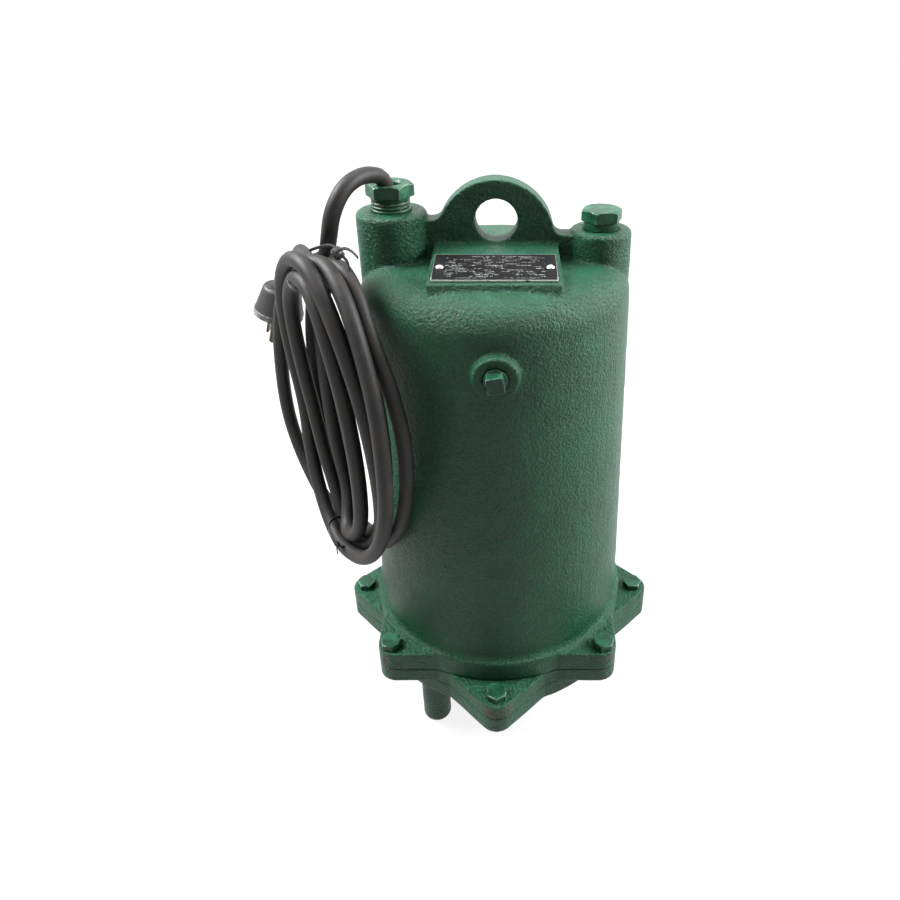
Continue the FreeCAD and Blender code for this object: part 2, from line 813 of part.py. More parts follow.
def seal_housing():
    plate = flange_outline(volute_flange_top, seal_plate_top, True, True, True)
    spigot = ring(spigot_radius, spigot_radius - spigot_wall, seal_plate_top, seal_plate_top + spigot_height)
    hub = cylinder(hub_radius, seal_plate_top, seal_plate_top + hub_height)
    body = fused([plate, spigot, hub])
    recess_top = volute_flange_top + seal_recess_depth
    cup_top = recess_top + seal_cup_height
    pocket_top = seal_plate_top + hub_height
    ring_bottom = lower_bearing_bottom + bearing_width
    cuts = [cylinder(seal_recess_radius, volute_flange_top - 1, recess_top),
            cylinder(seal_cup_radius, recess_top - 1, cup_top),
            cylinder(seal_plate_shaft_bore, cup_top - 1, lower_bearing_bottom + 1),
            cylinder(bearing_outer_radius + running_clearance, lower_bearing_bottom, pocket_top + 1),
            cylinder(bearing_outer_radius + retaining_ring_groove, ring_bottom,
                     ring_bottom + retaining_ring_thickness + fit_clearance)]
    ring_height = seal_plate_top + spigot_height / 2
    groove_depth = 2 * housing_ring_section
    cuts.append(ring(spigot_radius + 1, spigot_radius - groove_depth, ring_height - 1.6, ring_height + 1.6))
    cuts.append(ring(volute_ring_radius + 1.2 * volute_ring_section,
                     volute_ring_radius - 1.2 * volute_ring_section, volute_flange_top - 1,
                     volute_flange_top + 2 * volute_ring_section + 0.05))
    cuts += hole_group(bolt_radius + fit_clearance, bolt_circle_radius, housing_bolt_azimuths,
                       seal_plate_top - housing_bolt_grip - 1, seal_plate_top + 1)
    cuts += hole_group(bolt_radius + bolt_hole_clearance, bolt_circle_radius, volute_bolt_azimuths,
                       volute_flange_top - 1, seal_plate_top + 1)
    return body.cut(cuts)


def volute_leg(azimuth):
    place = polar(leg_circle_radius, azimuth)
    leg = cylinder(leg_radius, 0, foot_height + 1, place.x, place.y)
    foot = [e for e in leg.Edges if e.BoundBox.ZMax < 0.01]
    return leg.makeFillet(leg_foot_rounding, foot)


def volute_case():
    flange = flange_outline(foot_height, volute_flange_top, True, False, True)
    bowl_bottom = volute_floor - volute_floor_thickness
    bowl = Part.makeCone(bowl_bottom_radius, bowl_top_radius, foot_height - bowl_bottom, V(0, 0, bowl_bottom))
    neck = cylinder(suction_neck_radius, bowl_bottom - suction_neck_length, bowl_bottom + 1)
    legs = [volute_leg(first_leg_azimuth + 360.0 / leg_count * i) for i in range(leg_count)]
    outer_half = channel_inner_width / 2 + channel_wall
    channel = box(channel_x - outer_half, channel_x + outer_half, 20, discharge_y, bowl_bottom, volute_flange_top)
    boss = cylinder(discharge_boss_radius, bowl_bottom, discharge_top, discharge_x, discharge_y)
    body = fused([flange, bowl, neck] + legs + [channel, boss])
    inner_half = channel_inner_width / 2
    cuts = [cylinder(volute_chamber_radius, volute_floor, volute_flange_top + 1),
            cylinder(suction_radius, bowl_bottom - suction_neck_length - 1, volute_floor + 1),
            box(channel_x - inner_half, channel_x + inner_half, 20, discharge_y,
                volute_floor, volute_floor + channel_height),
            cylinder(discharge_passage_radius, volute_floor, discharge_top, discharge_x, discharge_y),
            cylinder(discharge_thread_radius, discharge_top - discharge_thread_length, discharge_top + 1,
                     discharge_x, discharge_y)]
    cuts += hole_group(bolt_radius + fit_clearance, bolt_circle_radius, volute_bolt_azimuths,
                       volute_flange_top - volute_bolt_grip - 1, volute_flange_top + 1)
    return body.cut(cuts)


def flange_bolts(azimuths, seat, depth):
    bolts = []
    for azimuth in azimuths:
        place = polar(bolt_circle_radius, azimuth)
        shank = cylinder(bolt_radius, seat - depth, seat + 1, place.x, place.y)
        head = hexagon(bolt_head_flats, seat, seat + bolt_head_height, place.x, place.y, azimuth)
        bolts.append(fused([shank, head]))
    return Part.makeCompound(bolts)


def housing_bolts():
    return flange_bolts(housing_bolt_azimuths, housing_flange_top, housing_flange_thickness + housing_bolt_grip)


def volute_bolts():
    return flange_bolts(volute_bolt_azimuths, seal_plate_top, seal_plate_thickness + volute_bolt_grip)


def housing_o_ring():
    radius = spigot_radius + fit_clearance - 1.05 * housing_ring_section
    return Part.makeTorus(radius, housing_ring_section, V(0, 0, seal_plate_top + spigot_height / 2))


def volute_o_ring():
    height = volute_flange_top + 1.01 * volute_ring_section
    return Part.makeTorus(volute_ring_radius, volute_ring_section, V(0, 0, height))


# Fittings on the housing
def nameplate():
    blank = box(-plate_length / 2, plate_length / 2, -plate_width / 2, plate_width / 2, 0, plate_thickness)
    holes = [cylinder(rivet_shank_radius + fit_clearance, -1, plate_thickness + 1, x) for x in rivet_places()]
    return moved(blank.cut(holes), plate_frame())


def nameplate_rivets():
    rivets = []
    for x in rivet_places():
        shank = cylinder(rivet_shank_radius, -rivet_depth, plate_thickness + 0.5, x)
        sphere_radius = (rivet_head_radius ** 2 + rivet_head_height ** 2) / (2 * rivet_head_height)
        sphere = Part.makeSphere(sphere_radius, V(x, 0, plate_thickness + rivet_head_height - sphere_radius))
        head = sphere.common(cylinder(rivet_head_radius + 1, plate_thickness, plate_thickness + 5, x))
        rivets.append(moved(fused([shank, head]), plate_frame()))
    return Part.makeCompound(rivets)


def oil_fill_plug():
    face = oil_boss_face_y()
    shank = Part.makeCylinder(oil_plug_radius, oil_plug_depth, V(0, 0, -oil_plug_depth + 0.5))
    half = oil_plug_square / 2
    head = box(-half, half, -half, half, 0, oil_plug_proud)
    uprights = [e for e in head.Edges if e.BoundBox.ZLength > oil_plug_proud - 0.1]
    head = head.makeChamfer(0.8, uprights)
    plug = fused([shank, head])
    plug.rotate(V(0, 0, 0), UP, oil_plug_turn)
    return moved(plug, axis_frame(V(oil_boss_x, face, oil_boss_height), V(0, -1, 0), X_AXIS))


def top_port_plug():
    shank = cylinder(port_plug_radius, port_boss_top - port_plug_depth, port_boss_top + 1, port_boss_x)
    neck_top = port_boss_top + port_plug_neck
    neck = cylinder(port_plug_radius + 0.15, port_boss_top, neck_top, port_boss_x)
    head = hexagon(port_plug_flats, neck_top, neck_top + port_plug_head_height, port_boss_x, 0, port_plug_turn)
    return fused([shank, neck, head])


def gland_nut():
    head_bottom = gland_boss_top + gland_neck
    head_top = head_bottom + gland_head_height
    shank = cylinder(gland_thread_radius, gland_washer_top, head_bottom + 1, gland_boss_x)
    head = hexagon(gland_flats, head_bottom, head_top, gland_boss_x)
    nut = fused([shank, head])
    bore = cylinder(gland_nut_bore, gland_washer_top - 1, head_top + 1, gland_boss_x)
    flare = Part.makeCone(gland_nut_bore, gland_nut_bore + 1.5, 1.5, V(gland_boss_x, 0, head_top - 1.5))
    grooves = [ring(gland_thread_radius + 1, gland_thread_radius - 0.7, gland_boss_top + 1.2 + 2.2 * i,
                    gland_boss_top + 2.2 + 2.2 * i, gland_boss_x) for i in range(3)]
    return nut.cut([bore, flare] + grooves)


def gland_washer():
    return ring(grommet_radius, cord_radius + seat_gap, gland_washer_bottom, gland_washer_top, gland_boss_x)


def gland_grommet():
    return ring(grommet_radius, cord_radius + 0.05, grommet_bottom, gland_washer_bottom, gland_boss_x)


# Rotating parts
def motor_shaft():
    bearing_seat_bottom = lower_bearing_bottom
    rotor_seat_bottom = lower_bearing_bottom + bearing_width
    pieces = [cylinder(pump_shaft_radius, shaft_end_height, bearing_seat_bottom + 0.5),
              cylinder(bearing_bore_radius, bearing_seat_bottom, rotor_seat_bottom + 0.5),
              cylinder(rotor_shaft_radius, rotor_seat_bottom, upper_bearing_bottom),
              cylinder(bearing_bore_radius, upper_bearing_bottom - 0.5, upper_bearing_top + 2)]
    shaft = fused(pieces)
    key_slot = box(-key_width / 2 - 0.02, key_width / 2 + 0.02, pump_shaft_radius - key_depth,
                   pump_shaft_radius + 1, key_bottom, key_bottom + key_length)
    return shaft.cut(key_slot)


def shaft_key():
    return box(-key_width / 2, key_width / 2, pump_shaft_radius - key_depth + 0.02,
               pump_shaft_radius + key_depth, key_bottom + 0.1, key_bottom + key_length - 0.1)


def rotor_core():
    return ring(rotor_radius, rotor_shaft_radius + running_clearance,
                core_bottom - core_overhang, core_top + core_overhang)


def rotor_end_rings():
    low = core_bottom - core_overhang
    high = core_top + core_overhang
    return Part.makeCompound([ring(end_ring_outer, end_ring_inner, low - end_ring_height, low),
                              ring(end_ring_outer, end_ring_inner, high, high + end_ring_height)])


def impeller_blade(azimuth):
    # A backward-curved vane: an arc-shaped band from the hub out to the rim.
    inner = polar(blade_inner_radius, 0)
    outer = polar(impeller_radius - 0.6, -blade_sweep)
    side = V(outer.y - inner.y, inner.x - outer.x, 0)
    side.normalize()
    middle = (inner + outer) * 0.5 - side * blade_bow
    half = side * (blade_thickness / 2)
    edges = [Part.Arc(inner + half, middle + half, outer + half).toShape(),
             Part.LineSegment(outer + half, outer - half).toShape(),
             Part.Arc(outer - half, middle - half, inner - half).toShape(),
             Part.LineSegment(inner - half, inner + half).toShape()]
    blade = Part.Face(Part.Wire(edges)).extrude(V(0, 0, blade_height + 0.5))
    blade.translate(V(0, 0, volute_floor + impeller_floor_gap))
    blade.rotate(V(0, 0, 0), UP, azimuth)
    return blade


def impeller():
    shroud = cylinder(impeller_radius, shroud_bottom, shroud_bottom + shroud_thickness)
    hub = cylinder(impeller_hub_radius, impeller_hub_bottom, impeller_hub_top)
    blades = [impeller_blade(360.0 / blade_count * i) for i in range(blade_count)]
    body = fused([shroud, hub] + blades)
    clear_eye = cylinder(impeller_washer_radius + 3, volute_floor - 1, impeller_hub_bottom)
    body = body.cut(clear_eye.cut(cylinder(0.5, volute_floor - 1, impeller_hub_bottom)))
    bore = cylinder(pump_shaft_radius + running_clearance, volute_floor - 2, impeller_hub_top + 1)
    keyway = box(-key_width / 2 - 0.02, key_width / 2 + 0.02, 0, pump_shaft_radius + key_depth + 0.05,
                 key_bottom, impeller_hub_top + 1)
    return body.cut([bore, keyway])


def impeller_washer():
    top = impeller_hub_bottom
    return ring(impeller_washer_radius, pump_shaft_radius + fit_clearance, top - impeller_washer_thickness, top)


def impeller_nut():
    top = impeller_hub_bottom - impeller_washer_thickness
    blank = hexagon(impeller_nut_flats, top - impeller_nut_height, top)
    return blank.cut(cylinder(pump_shaft_radius + running_clearance, top - impeller_nut_height - 1, top + 1))


# Mechanical seal
def seal_seat_bottom():
    return volute_flange_top + seal_recess_depth


def seal_seat_cup():
    bottom = seal_seat_bottom()
    cup = cylinder(seal_cup_radius - 0.05, bottom, bottom + seal_cup_height)
    inside = cylinder(seal_seat_radius + 0.05, bottom - 1, bottom + seal_seat_height + 0.05)
    return cup.cut([inside, cylinder(seal_plate_shaft_bore, bottom, bottom + seal_cup_height + 1)])


def seal_seat():
    bottom = seal_seat_bottom()
    return ring(seal_seat_radius, seal_seat_bore, bottom, bottom + seal_seat_height)


def seal_head_bottom():
    return seal_seat_bottom() - seal_face_gap - seal_head_height


def seal_head():
    return ring(seal_head_radius, pump_shaft_radius + running_clearance, seal_head_bottom(),
                seal_head_bottom() + seal_head_height)


def seal_spring():
    # Half turns of wire that climb from the impeller's hub to the seal head.
    low = impeller_hub_top + spring_wire_radius + 0.1
    high = seal_head_bottom() - spring_wire_radius - 0.1
    half_turns = 2 * spring_turns
    rise = (high - low) / half_turns
    edges = []
    slope = rise / (math.pi * spring_radius)
    for i in range(half_turns):
        a = polar(spring_radius, 180 * i, low + rise * i)
        b = polar(spring_radius, 180 * (i + 1), low + rise * (i + 1))
        heading_a = polar(1, 180 * i + 90) + V(0, 0, slope)
        heading_b = polar(1, 180 * i + 270) + V(0, 0, slope)
        heading_a.normalize()
        heading_b.normalize()
        edges += biarc_edges(a, heading_a, b, heading_b)
    return tube_along(edges, spring_wire_radius, "seal spring")


# Ball bearings
def bearing_race(outer, inner, bottom):
    groove = Part.makeTorus(ball_pitch_radius, ball_radius + ball_clearance, V(0, 0, bottom + bearing_width / 2))
    return ring(outer, inner, bottom, bottom + bearing_width).cut(groove)


def outer_race(bottom):
    return bearing_race(bearing_outer_radius, bearing_outer_shoulder, bottom)


def inner_race(bottom):
    return bearing_race(bearing_inner_shoulder, bearing_bore_radius + running_clearance, bottom)


def ball_places(bottom, turn):
    height = bottom + bearing_width / 2
    return [polar(ball_pitch_radius, turn + 360.0 / ball_count * i, height) for i in range(ball_count)]


def bearing_balls(bottom, turn=0.0):
    return Part.makeCompound([Part.makeSphere(ball_radius, p) for p in ball_places(bottom, turn)])


def bearing_cage(bottom, turn=0.0):
    middle = bottom + bearing_width / 2
    cage = ring(ball_pitch_radius + cage_wall / 2, ball_pitch_radius - cage_wall / 2,
                middle - cage_height / 2, middle + cage_height / 2)
    for place in ball_places(bottom, turn):
        outward = V(place.x, place.y, 0)
        outward.normalize()
        start = place - outward * 2 * cage_wall
        cage = cage.cut(Part.makeCylinder(ball_radius + ball_clearance, 4 * cage_wall, start, outward))
    return cage


def bearing_retaining_ring():
    bottom = lower_bearing_bottom + bearing_width + 0.05
    whole = ring(bearing_outer_radius + retaining_ring_groove - fit_clearance, bearing_outer_shoulder + 0.7,
                 bottom, bottom + retaining_ring_thickness - 0.05)
    return whole.cut(box(0, hub_radius, -5, 5, bottom - 1, bottom + retaining_ring_thickness + 1))


def wave_washer():
    return ring(bearing_outer_radius - 0.3, bearing_outer_shoulder - 2.0, upper_bearing_top,
                upper_bearing_top + wave_washer_thickness)


# Stator and upper bracket
def stator_core():
    core = ring(stator_radius, rotor_radius + air_gap, core_bottom, core_top)
    holes = hole_group(stator_bolt_radius + 0.3, stator_bolt_circle, rib_azimuths, core_bottom - 1, core_top + 1)
    return core.cut(holes)


def winding_ring(outer, bottom, top):
    blank = ring(outer, winding_inner, bottom, top)
    free_edges = [e for e in blank.Edges if e.BoundBox.ZLength < 0.01]
    return blank, free_edges


def stator_windings():
    low = core_bottom - lower_winding_height
    high = core_top + upper_winding_height
    lower, edges = winding_ring(lower_winding_outer, low, core_bottom)
    lower = lower.makeFillet(winding_corner, [e for e in edges if abs(e.BoundBox.ZMin - low) < 0.01])
    upper, edges = winding_ring(upper_winding_outer, core_top, high)
    upper = upper.makeFillet(winding_corner, [e for e in edges if abs(e.BoundBox.ZMin - high) < 0.01])
    return Part.makeCompound([lower, upper])


def screw_group(azimuths, circle, seat, grip, radius, head_radius, head_height, headed_below):
    screws = []
    for azimuth in azimuths:
        place = polar(circle, azimuth)
        if headed_below:
            head = cylinder(head_radius, seat - head_height, seat, place.x, place.y)
            shank = cylinder(radius, seat - 0.5, seat + grip, place.x, place.y)
        else:
            head = cylinder(head_radius, seat, seat + head_height, place.x, place.y)
            shank = cylinder(radius, seat - grip, seat + 0.5, place.x, place.y)
        screws.append(fused([head, shank]))
    return Part.makeCompound(screws)


def stator_bolts():
    return screw_group(rib_azimuths, stator_bolt_circle, core_bottom, core_length + stator_bolt_grip,
                       stator_bolt_radius, stator_bolt_head_radius, stator_bolt_head_height, True)


def bracket_screws():
    return screw_group(rib_azimuths, bracket_screw_circle, bracket_height,
                       bracket_rim_thickness + bracket_screw_grip, bracket_screw_radius,
                       bracket_screw_head_radius, bracket_screw_head_height, True)


def capacitor_screws():
    return screw_group(rib_azimuths[:2], clip_screw_circle, rib_top_height + clip_thickness,
                       clip_thickness + clip_screw_grip, clip_screw_radius, clip_screw_head_radius,
                       clip_screw_head_height, False)


def upper_bearing_bracket():
    rim = ring(bracket_rim_outer, bracket_rim_inner, bracket_height, ledge_height)
    hub_top = bracket_pocket_top + bracket_lip
    hub = cylinder(bracket_hub_radius, bracket_height, hub_top)
    spokes = []
    for azimuth in rib_azimuths:
        spoke = box(0, bracket_rim_inner + 2, -bracket_spoke_width / 2, bracket_spoke_width / 2,
                    bracket_height, ledge_height)
        spoke.rotate(V(0, 0, 0), UP, azimuth)
        spokes.append(spoke)
    body = fused([rim, hub] + spokes)
    cuts = [cylinder(rotor_shaft_radius + 2, bracket_height - 1, upper_bearing_bottom + 1),
            cylinder(bearing_outer_radius + running_clearance, bracket_height - 1, bracket_pocket_top),
            cylinder(bracket_lip_bore, bracket_height, hub_top + 1)]
    cuts += hole_group(bracket_screw_radius + 0.3, bracket_screw_circle, rib_azimuths,
                       bracket_height - 1, ledge_height + 1)
    return body.cut(cuts)


# Electrical parts
def run_capacitor():
    can = cylinder(capacitor_radius, capacitor_bottom, capacitor_top, 0, capacitor_y)
    rim = [e for e in can.Edges if e.BoundBox.ZMin > capacitor_top - 0.01]
    can = can.makeFillet(2.0, rim)
    half = capacitor_terminal_spacing / 2
    posts = [cylinder(capacitor_terminal_radius, capacitor_top - 1, capacitor_top + capacitor_terminal_height,
                      x, capacitor_y) for x in (-half, half)]
    return fused([can] + posts)


def capacitor_clip():
    bottom = rib_top_height
    top = capacitor_bottom
    reach = clip_screw_circle / math.sqrt(2)
    strip = box(-clip_length / 2, clip_length / 2, reach - clip_width / 2, reach + clip_width / 2, bottom, top)
    band_inner = capacitor_radius + fit_clearance
    band_bottom = top + clip_band_rise
    band = ring(band_inner + clip_band_wall, band_inner, band_bottom, band_bottom + clip_band_height, 0, capacitor_y)
    tabs = [box(side * (band_inner + clip_band_wall / 2) - clip_band_wall / 2,
                side * (band_inner + clip_band_wall / 2) + clip_band_wall / 2,
                capacitor_y - 5, capacitor_y + 1, top - 1, band_bottom + 1) for side in (-1, 1)]
    clip = fused([strip, band] + tabs)
    clear = cylinder(capacitor_radius + 0.05, top, band_bottom + clip_band_height + 1, 0, capacitor_y)
    holes = hole_group(clip_screw_radius + fit_clearance, clip_screw_circle, rib_azimuths[:2], bottom - 1, top + 1)
    return clip.cut([clear] + holes)


def thermal_protector():
    bottom = core_top + upper_winding_height
    return box(protector_x - protector_length / 2, protector_x + protector_length / 2,
               -protector_width / 2, protector_width / 2, bottom, bottom + protector_height)


def lead_places():
    return [V(gland_boss_x, lead_spread * i, 0) for i in (-1, 0, 1)]


def cord_lead_in():
    return cylinder(cord_radius, jacket_end_height, cord_start_height, gland_boss_x)


def lead_wires():
    wires = []
    for i, place in zip((-1, 0, 1), lead_places()):
        top = V(gland_boss_x, lead_bundle_radius * i * 1.1, jacket_end_height)
        first = top + V(0, 0, -3)
        second = V(place.x, place.y, splice_top + 4)
        end = V(place.x, place.y, splice_top - 4)
        if i == 0:
            wires.append(cylinder(lead_radius, end.z, top.z, place.x, place.y))
        else:
            wires.append(tube_along(route_edges([top, first, second, end], ""), lead_radius))
        low = splice_top - splice_length
        start = V(place.x, place.y, low + 4)
        rest = core_top + upper_winding_height + lead_radius + seat_gap
        corner = V(place.x, place.y, rest)
        if i == 0:
            inside = V(protector_x - protector_length / 2, place.y, rest)
        else:
            inside = V(5 - math.sqrt(upper_winding_outer ** 2 - place.y ** 2), place.y, rest)
        wires.append(tube_along(route_edges([start, corner, inside], ""), lead_radius))
    return Part.makeCompound(wires)


def splice_sleeves():
    sleeves = []
    for place in lead_places():
        sleeve = ring(splice_radius, lead_radius + 0.05, splice_top - splice_length, splice_top, place.x, place.y)
        sleeves.append(sleeve)
    return Part.makeCompound(sleeves)


# Cord
def plug_direction():
    axis = V(plug_axis)
    axis.normalize()
    return axis


def grip_direction():
    axis = V(plug_grip_axis)
    axis.normalize()
    return axis


def plug_elbow():
    return plug_face_centre + plug_direction() * (plug_face_thickness + plug_body_height - 3.0)


def grip_end():
    return plug_elbow() + grip_direction() * plug_grip_length


def feed_route():
    heading_out = coil_heading(-math.cos(math.radians(coil_start_slope)), -math.sin(math.radians(coil_start_slope)))
    start = coil_point(coil_start_along, coil_start_height, coil_back)
    return [V(gland_boss_x, 0, cord_start_height), V(gland_boss_x, 0, 380.0), V(-70.0, -16.0, 389.5),
            V(-78.0, -33.0, 386.5), V(-84.5, -43.5, 375.5), start - heading_out * 17.0, start]


def tail_route():
    end = coil_stations()[-1][0]
    front = coil_back + coil_layer_step
    return [end, coil_point(-37, coil_top, front), coil_point(-57, 347.8, 105.8),
            coil_point(-78, 335.5, 97.0), grip_end() + grip_direction() * 21.0, grip_end()]


def power_cord():
    return tube_along(route_edges(feed_route(), "feed"), cord_radius, "feed")


def cord_tail():
    return tube_along(route_edges(tail_route(), "tail"), cord_radius, "tail")


def cord_coil():
    edges = coil_edges()
    print("coil least gap to itself", round(least_gap(edges, cord_radius), 2))
    return tube_along(edges, cord_radius, "coil")


def plug_frame():
    return axis_frame(plug_face_centre, plug_direction(), X_AXIS)


def plug_face():
    disc = cylinder(plug_face_radius, 0, plug_face_thickness)
    return moved(disc, plug_frame())


def plug_body():
    bottom = plug_face_thickness
    core = Part.makeCone(plug_face_radius - 0.5, plug_body_top_radius, plug_body_height, V(0, 0, bottom))
    top = [e for e in core.Edges if abs(e.BoundBox.ZMin - bottom - plug_body_height) < 0.01
           and e.BoundBox.ZLength < 0.01]
    core = moved(core.makeFillet(3.0, top), plug_frame())
    grip = Part.makeCone(plug_grip_root_radius, plug_grip_end_radius, plug_grip_length,
                         plug_elbow(), grip_direction())
    return fused([core, grip])


def plug_blades():
    blades = []
    for side in (-1, 1):
        centre = side * blade_spacing / 2
        blades.append(box(centre - plug_blade_thickness / 2, centre + plug_blade_thickness / 2,
                          plug_blade_back - plug_blade_width / 2, plug_blade_back + plug_blade_width / 2,
                          -plug_blade_length, 0))
    return moved(Part.makeCompound(blades), plug_frame())


def plug_ground_pin():
    pin = cylinder(ground_pin_radius, -ground_pin_length, 0, 0, -ground_pin_front)
    tip = [e for e in pin.Edges if e.BoundBox.ZMax < -ground_pin_length + 0.01]
    return moved(pin.makeFillet(1.5, tip), plug_frame())


def tie_band(along, low, high, head_up):
    # A flat strap round all the turns of both layers, with its square head.
    reach = cord_radius + tie_slack
    depth_half = coil_layer_step / 2 + reach
    height_half = (high - low) / 2 + reach
    middle = coil_point(along, (low + high) / 2, coil_back + coil_layer_step / 2)
    place = axis_frame(middle, coil_along, V(0, 0, 0) - coil_outward)
    half = tie_width / 2
    outer = box(-depth_half - tie_thickness, depth_half + tie_thickness, -height_half - tie_thickness,
                height_half + tie_thickness, -half, half)
    outer = outer.makeFillet(reach + tie_thickness, [e for e in outer.Edges if e.BoundBox.ZLength > half])
    inner = box(-depth_half, depth_half, -height_half, height_half, -half - 1, half + 1)
    inner = inner.makeFillet(reach, [e for e in inner.Edges if e.BoundBox.ZLength > tie_width + 1])
    head_middle = height_half + tie_head / 2 if head_up else -height_half - tie_head / 2
    head = box(-tie_head / 2, tie_head / 2, head_middle - tie_head / 2, head_middle + tie_head / 2,
               -tie_head / 2, tie_head / 2)
    return moved(fused([outer, head]).cut(inner), place)


def cable_tie_top():
    lowest = coil_top - coil_top_step * (coil_loops_per_layer - 0.5) - tie_top_room
    return tie_band(coil_top_along, lowest, coil_top, True)


def cable_tie_bottom():
    lowest = coil_bottom + coil_bottom_step * 0.5
    highest = coil_bottom + coil_bottom_step * coil_loops_per_layer
    return tie_band(coil_bottom_along, lowest, highest, False)


parts = {
    "motor_housing": motor_housing,
    "nameplate": nameplate,
    "nameplate_rivets": nameplate_rivets,
    "oil_fill_plug": oil_fill_plug,
    "top_port_plug": top_port_plug,
    "gland_nut": gland_nut,
    "gland_washer": gland_washer,
    "gland_grommet": gland_grommet,
    "cord_lead_in": cord_lead_in,
    "seal_housing": seal_housing,
    "housing_o_ring": housing_o_ring,
    "volute_o_ring": volute_o_ring,
    "housing_bolts": housing_bolts,
    "volute_bolts": volute_bolts,
    "volute_case": volute_case,
    "stator_core": stator_core,
    "stator_windings": stator_windings,
    "stator_bolts": stator_bolts,
    "upper_bearing_bracket": upper_bearing_bracket,
    "bracket_screws": bracket_screws,
    "upper_outer_race": lambda: outer_race(upper_bearing_bottom),
    "upper_inner_race": lambda: inner_race(upper_bearing_bottom),
    "upper_bearing_balls": lambda: bearing_balls(upper_bearing_bottom),
    "upper_bearing_cage": lambda: bearing_cage(upper_bearing_bottom),
    "lower_outer_race": lambda: outer_race(lower_bearing_bottom),
    "lower_inner_race": lambda: inner_race(lower_bearing_bottom),
    "lower_bearing_balls": lambda: bearing_balls(lower_bearing_bottom),
    "lower_bearing_cage": lambda: bearing_cage(lower_bearing_bottom),
    "bearing_retaining_ring": bearing_retaining_ring,
    "wave_washer": wave_washer,
    "motor_shaft": motor_shaft,
    "rotor_core": rotor_core,
    "rotor_end_rings": rotor_end_rings,
    "seal_seat_cup": seal_seat_cup,
    "seal_seat": seal_seat,
    "seal_head": seal_head,
    "seal_spring": seal_spring,
    "impeller": impeller,
    "impeller_washer": impeller_washer,
    "impeller_nut": impeller_nut,
    "shaft_key": shaft_key,
    "run_capacitor": run_capacitor,
    "capacitor_clip": capacitor_clip,
    "capacitor_screws": capacitor_screws,
    "thermal_protector": thermal_protector,
    "lead_wires": lead_wires,
    "splice_sleeves": splice_sleeves,
    "power_cord": power_cord,
    "cord_coil": cord_coil,
    "cord_tail": cord_tail,
    "plug_face": plug_face,
    "plug_body": plug_body,
    "plug_blades": plug_blades,
    "plug_ground_pin": plug_ground_pin,
    "cable_tie_top": cable_tie_top,
    "cable_tie_bottom": cable_tie_bottom,
}

os.makedirs("parts", exist_ok=True)
for name, make in parts.items():
    shape = make()
    shape.translate(V(0, pump_axis_y, 0))
    shape.exportStep("parts/" + name + ".step")
    print(name, len(shape.Solids), round(shape.Volume), shape.isValid())
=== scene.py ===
import json
import math

import bpy
import bmesh
import numpy as np
from mathutils import Euler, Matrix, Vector, noise


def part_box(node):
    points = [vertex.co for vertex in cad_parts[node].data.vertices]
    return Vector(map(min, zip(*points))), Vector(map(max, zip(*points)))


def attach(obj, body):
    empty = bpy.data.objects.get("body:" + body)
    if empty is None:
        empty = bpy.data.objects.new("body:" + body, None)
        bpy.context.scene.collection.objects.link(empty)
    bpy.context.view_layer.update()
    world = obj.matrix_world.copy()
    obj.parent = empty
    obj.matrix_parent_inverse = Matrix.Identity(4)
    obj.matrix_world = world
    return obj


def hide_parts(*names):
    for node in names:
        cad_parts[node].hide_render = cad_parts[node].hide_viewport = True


# Submersible sump pump: green castings, black coiled cord, studio floor. Metres, +Z up.
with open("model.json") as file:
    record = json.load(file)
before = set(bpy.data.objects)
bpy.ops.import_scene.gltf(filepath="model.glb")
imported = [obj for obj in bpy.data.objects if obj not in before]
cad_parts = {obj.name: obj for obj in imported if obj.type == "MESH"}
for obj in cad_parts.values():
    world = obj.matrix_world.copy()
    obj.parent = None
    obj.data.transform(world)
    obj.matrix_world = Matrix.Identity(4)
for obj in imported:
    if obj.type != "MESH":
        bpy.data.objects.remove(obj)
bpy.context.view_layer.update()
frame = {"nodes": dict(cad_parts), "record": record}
nodes = frame["nodes"]
slotOf = {entry["node"]: entry["material_slot"] for entry in frame["record"]["subparts"]}
axisY = -0.018097  # the pump's shaft stands here, at x = 0
mm = 0.001
print("stage: frame loaded")


def addPiece(name, data):
    piece = bpy.data.objects.new(name, data)
    bpy.context.scene.collection.objects.link(piece)
    return piece


def fromShaft(x, y, z):  # a place in millimetres, measured from the foot of the shaft's axis
    return Vector((x * mm, y * mm + axisY, z * mm))


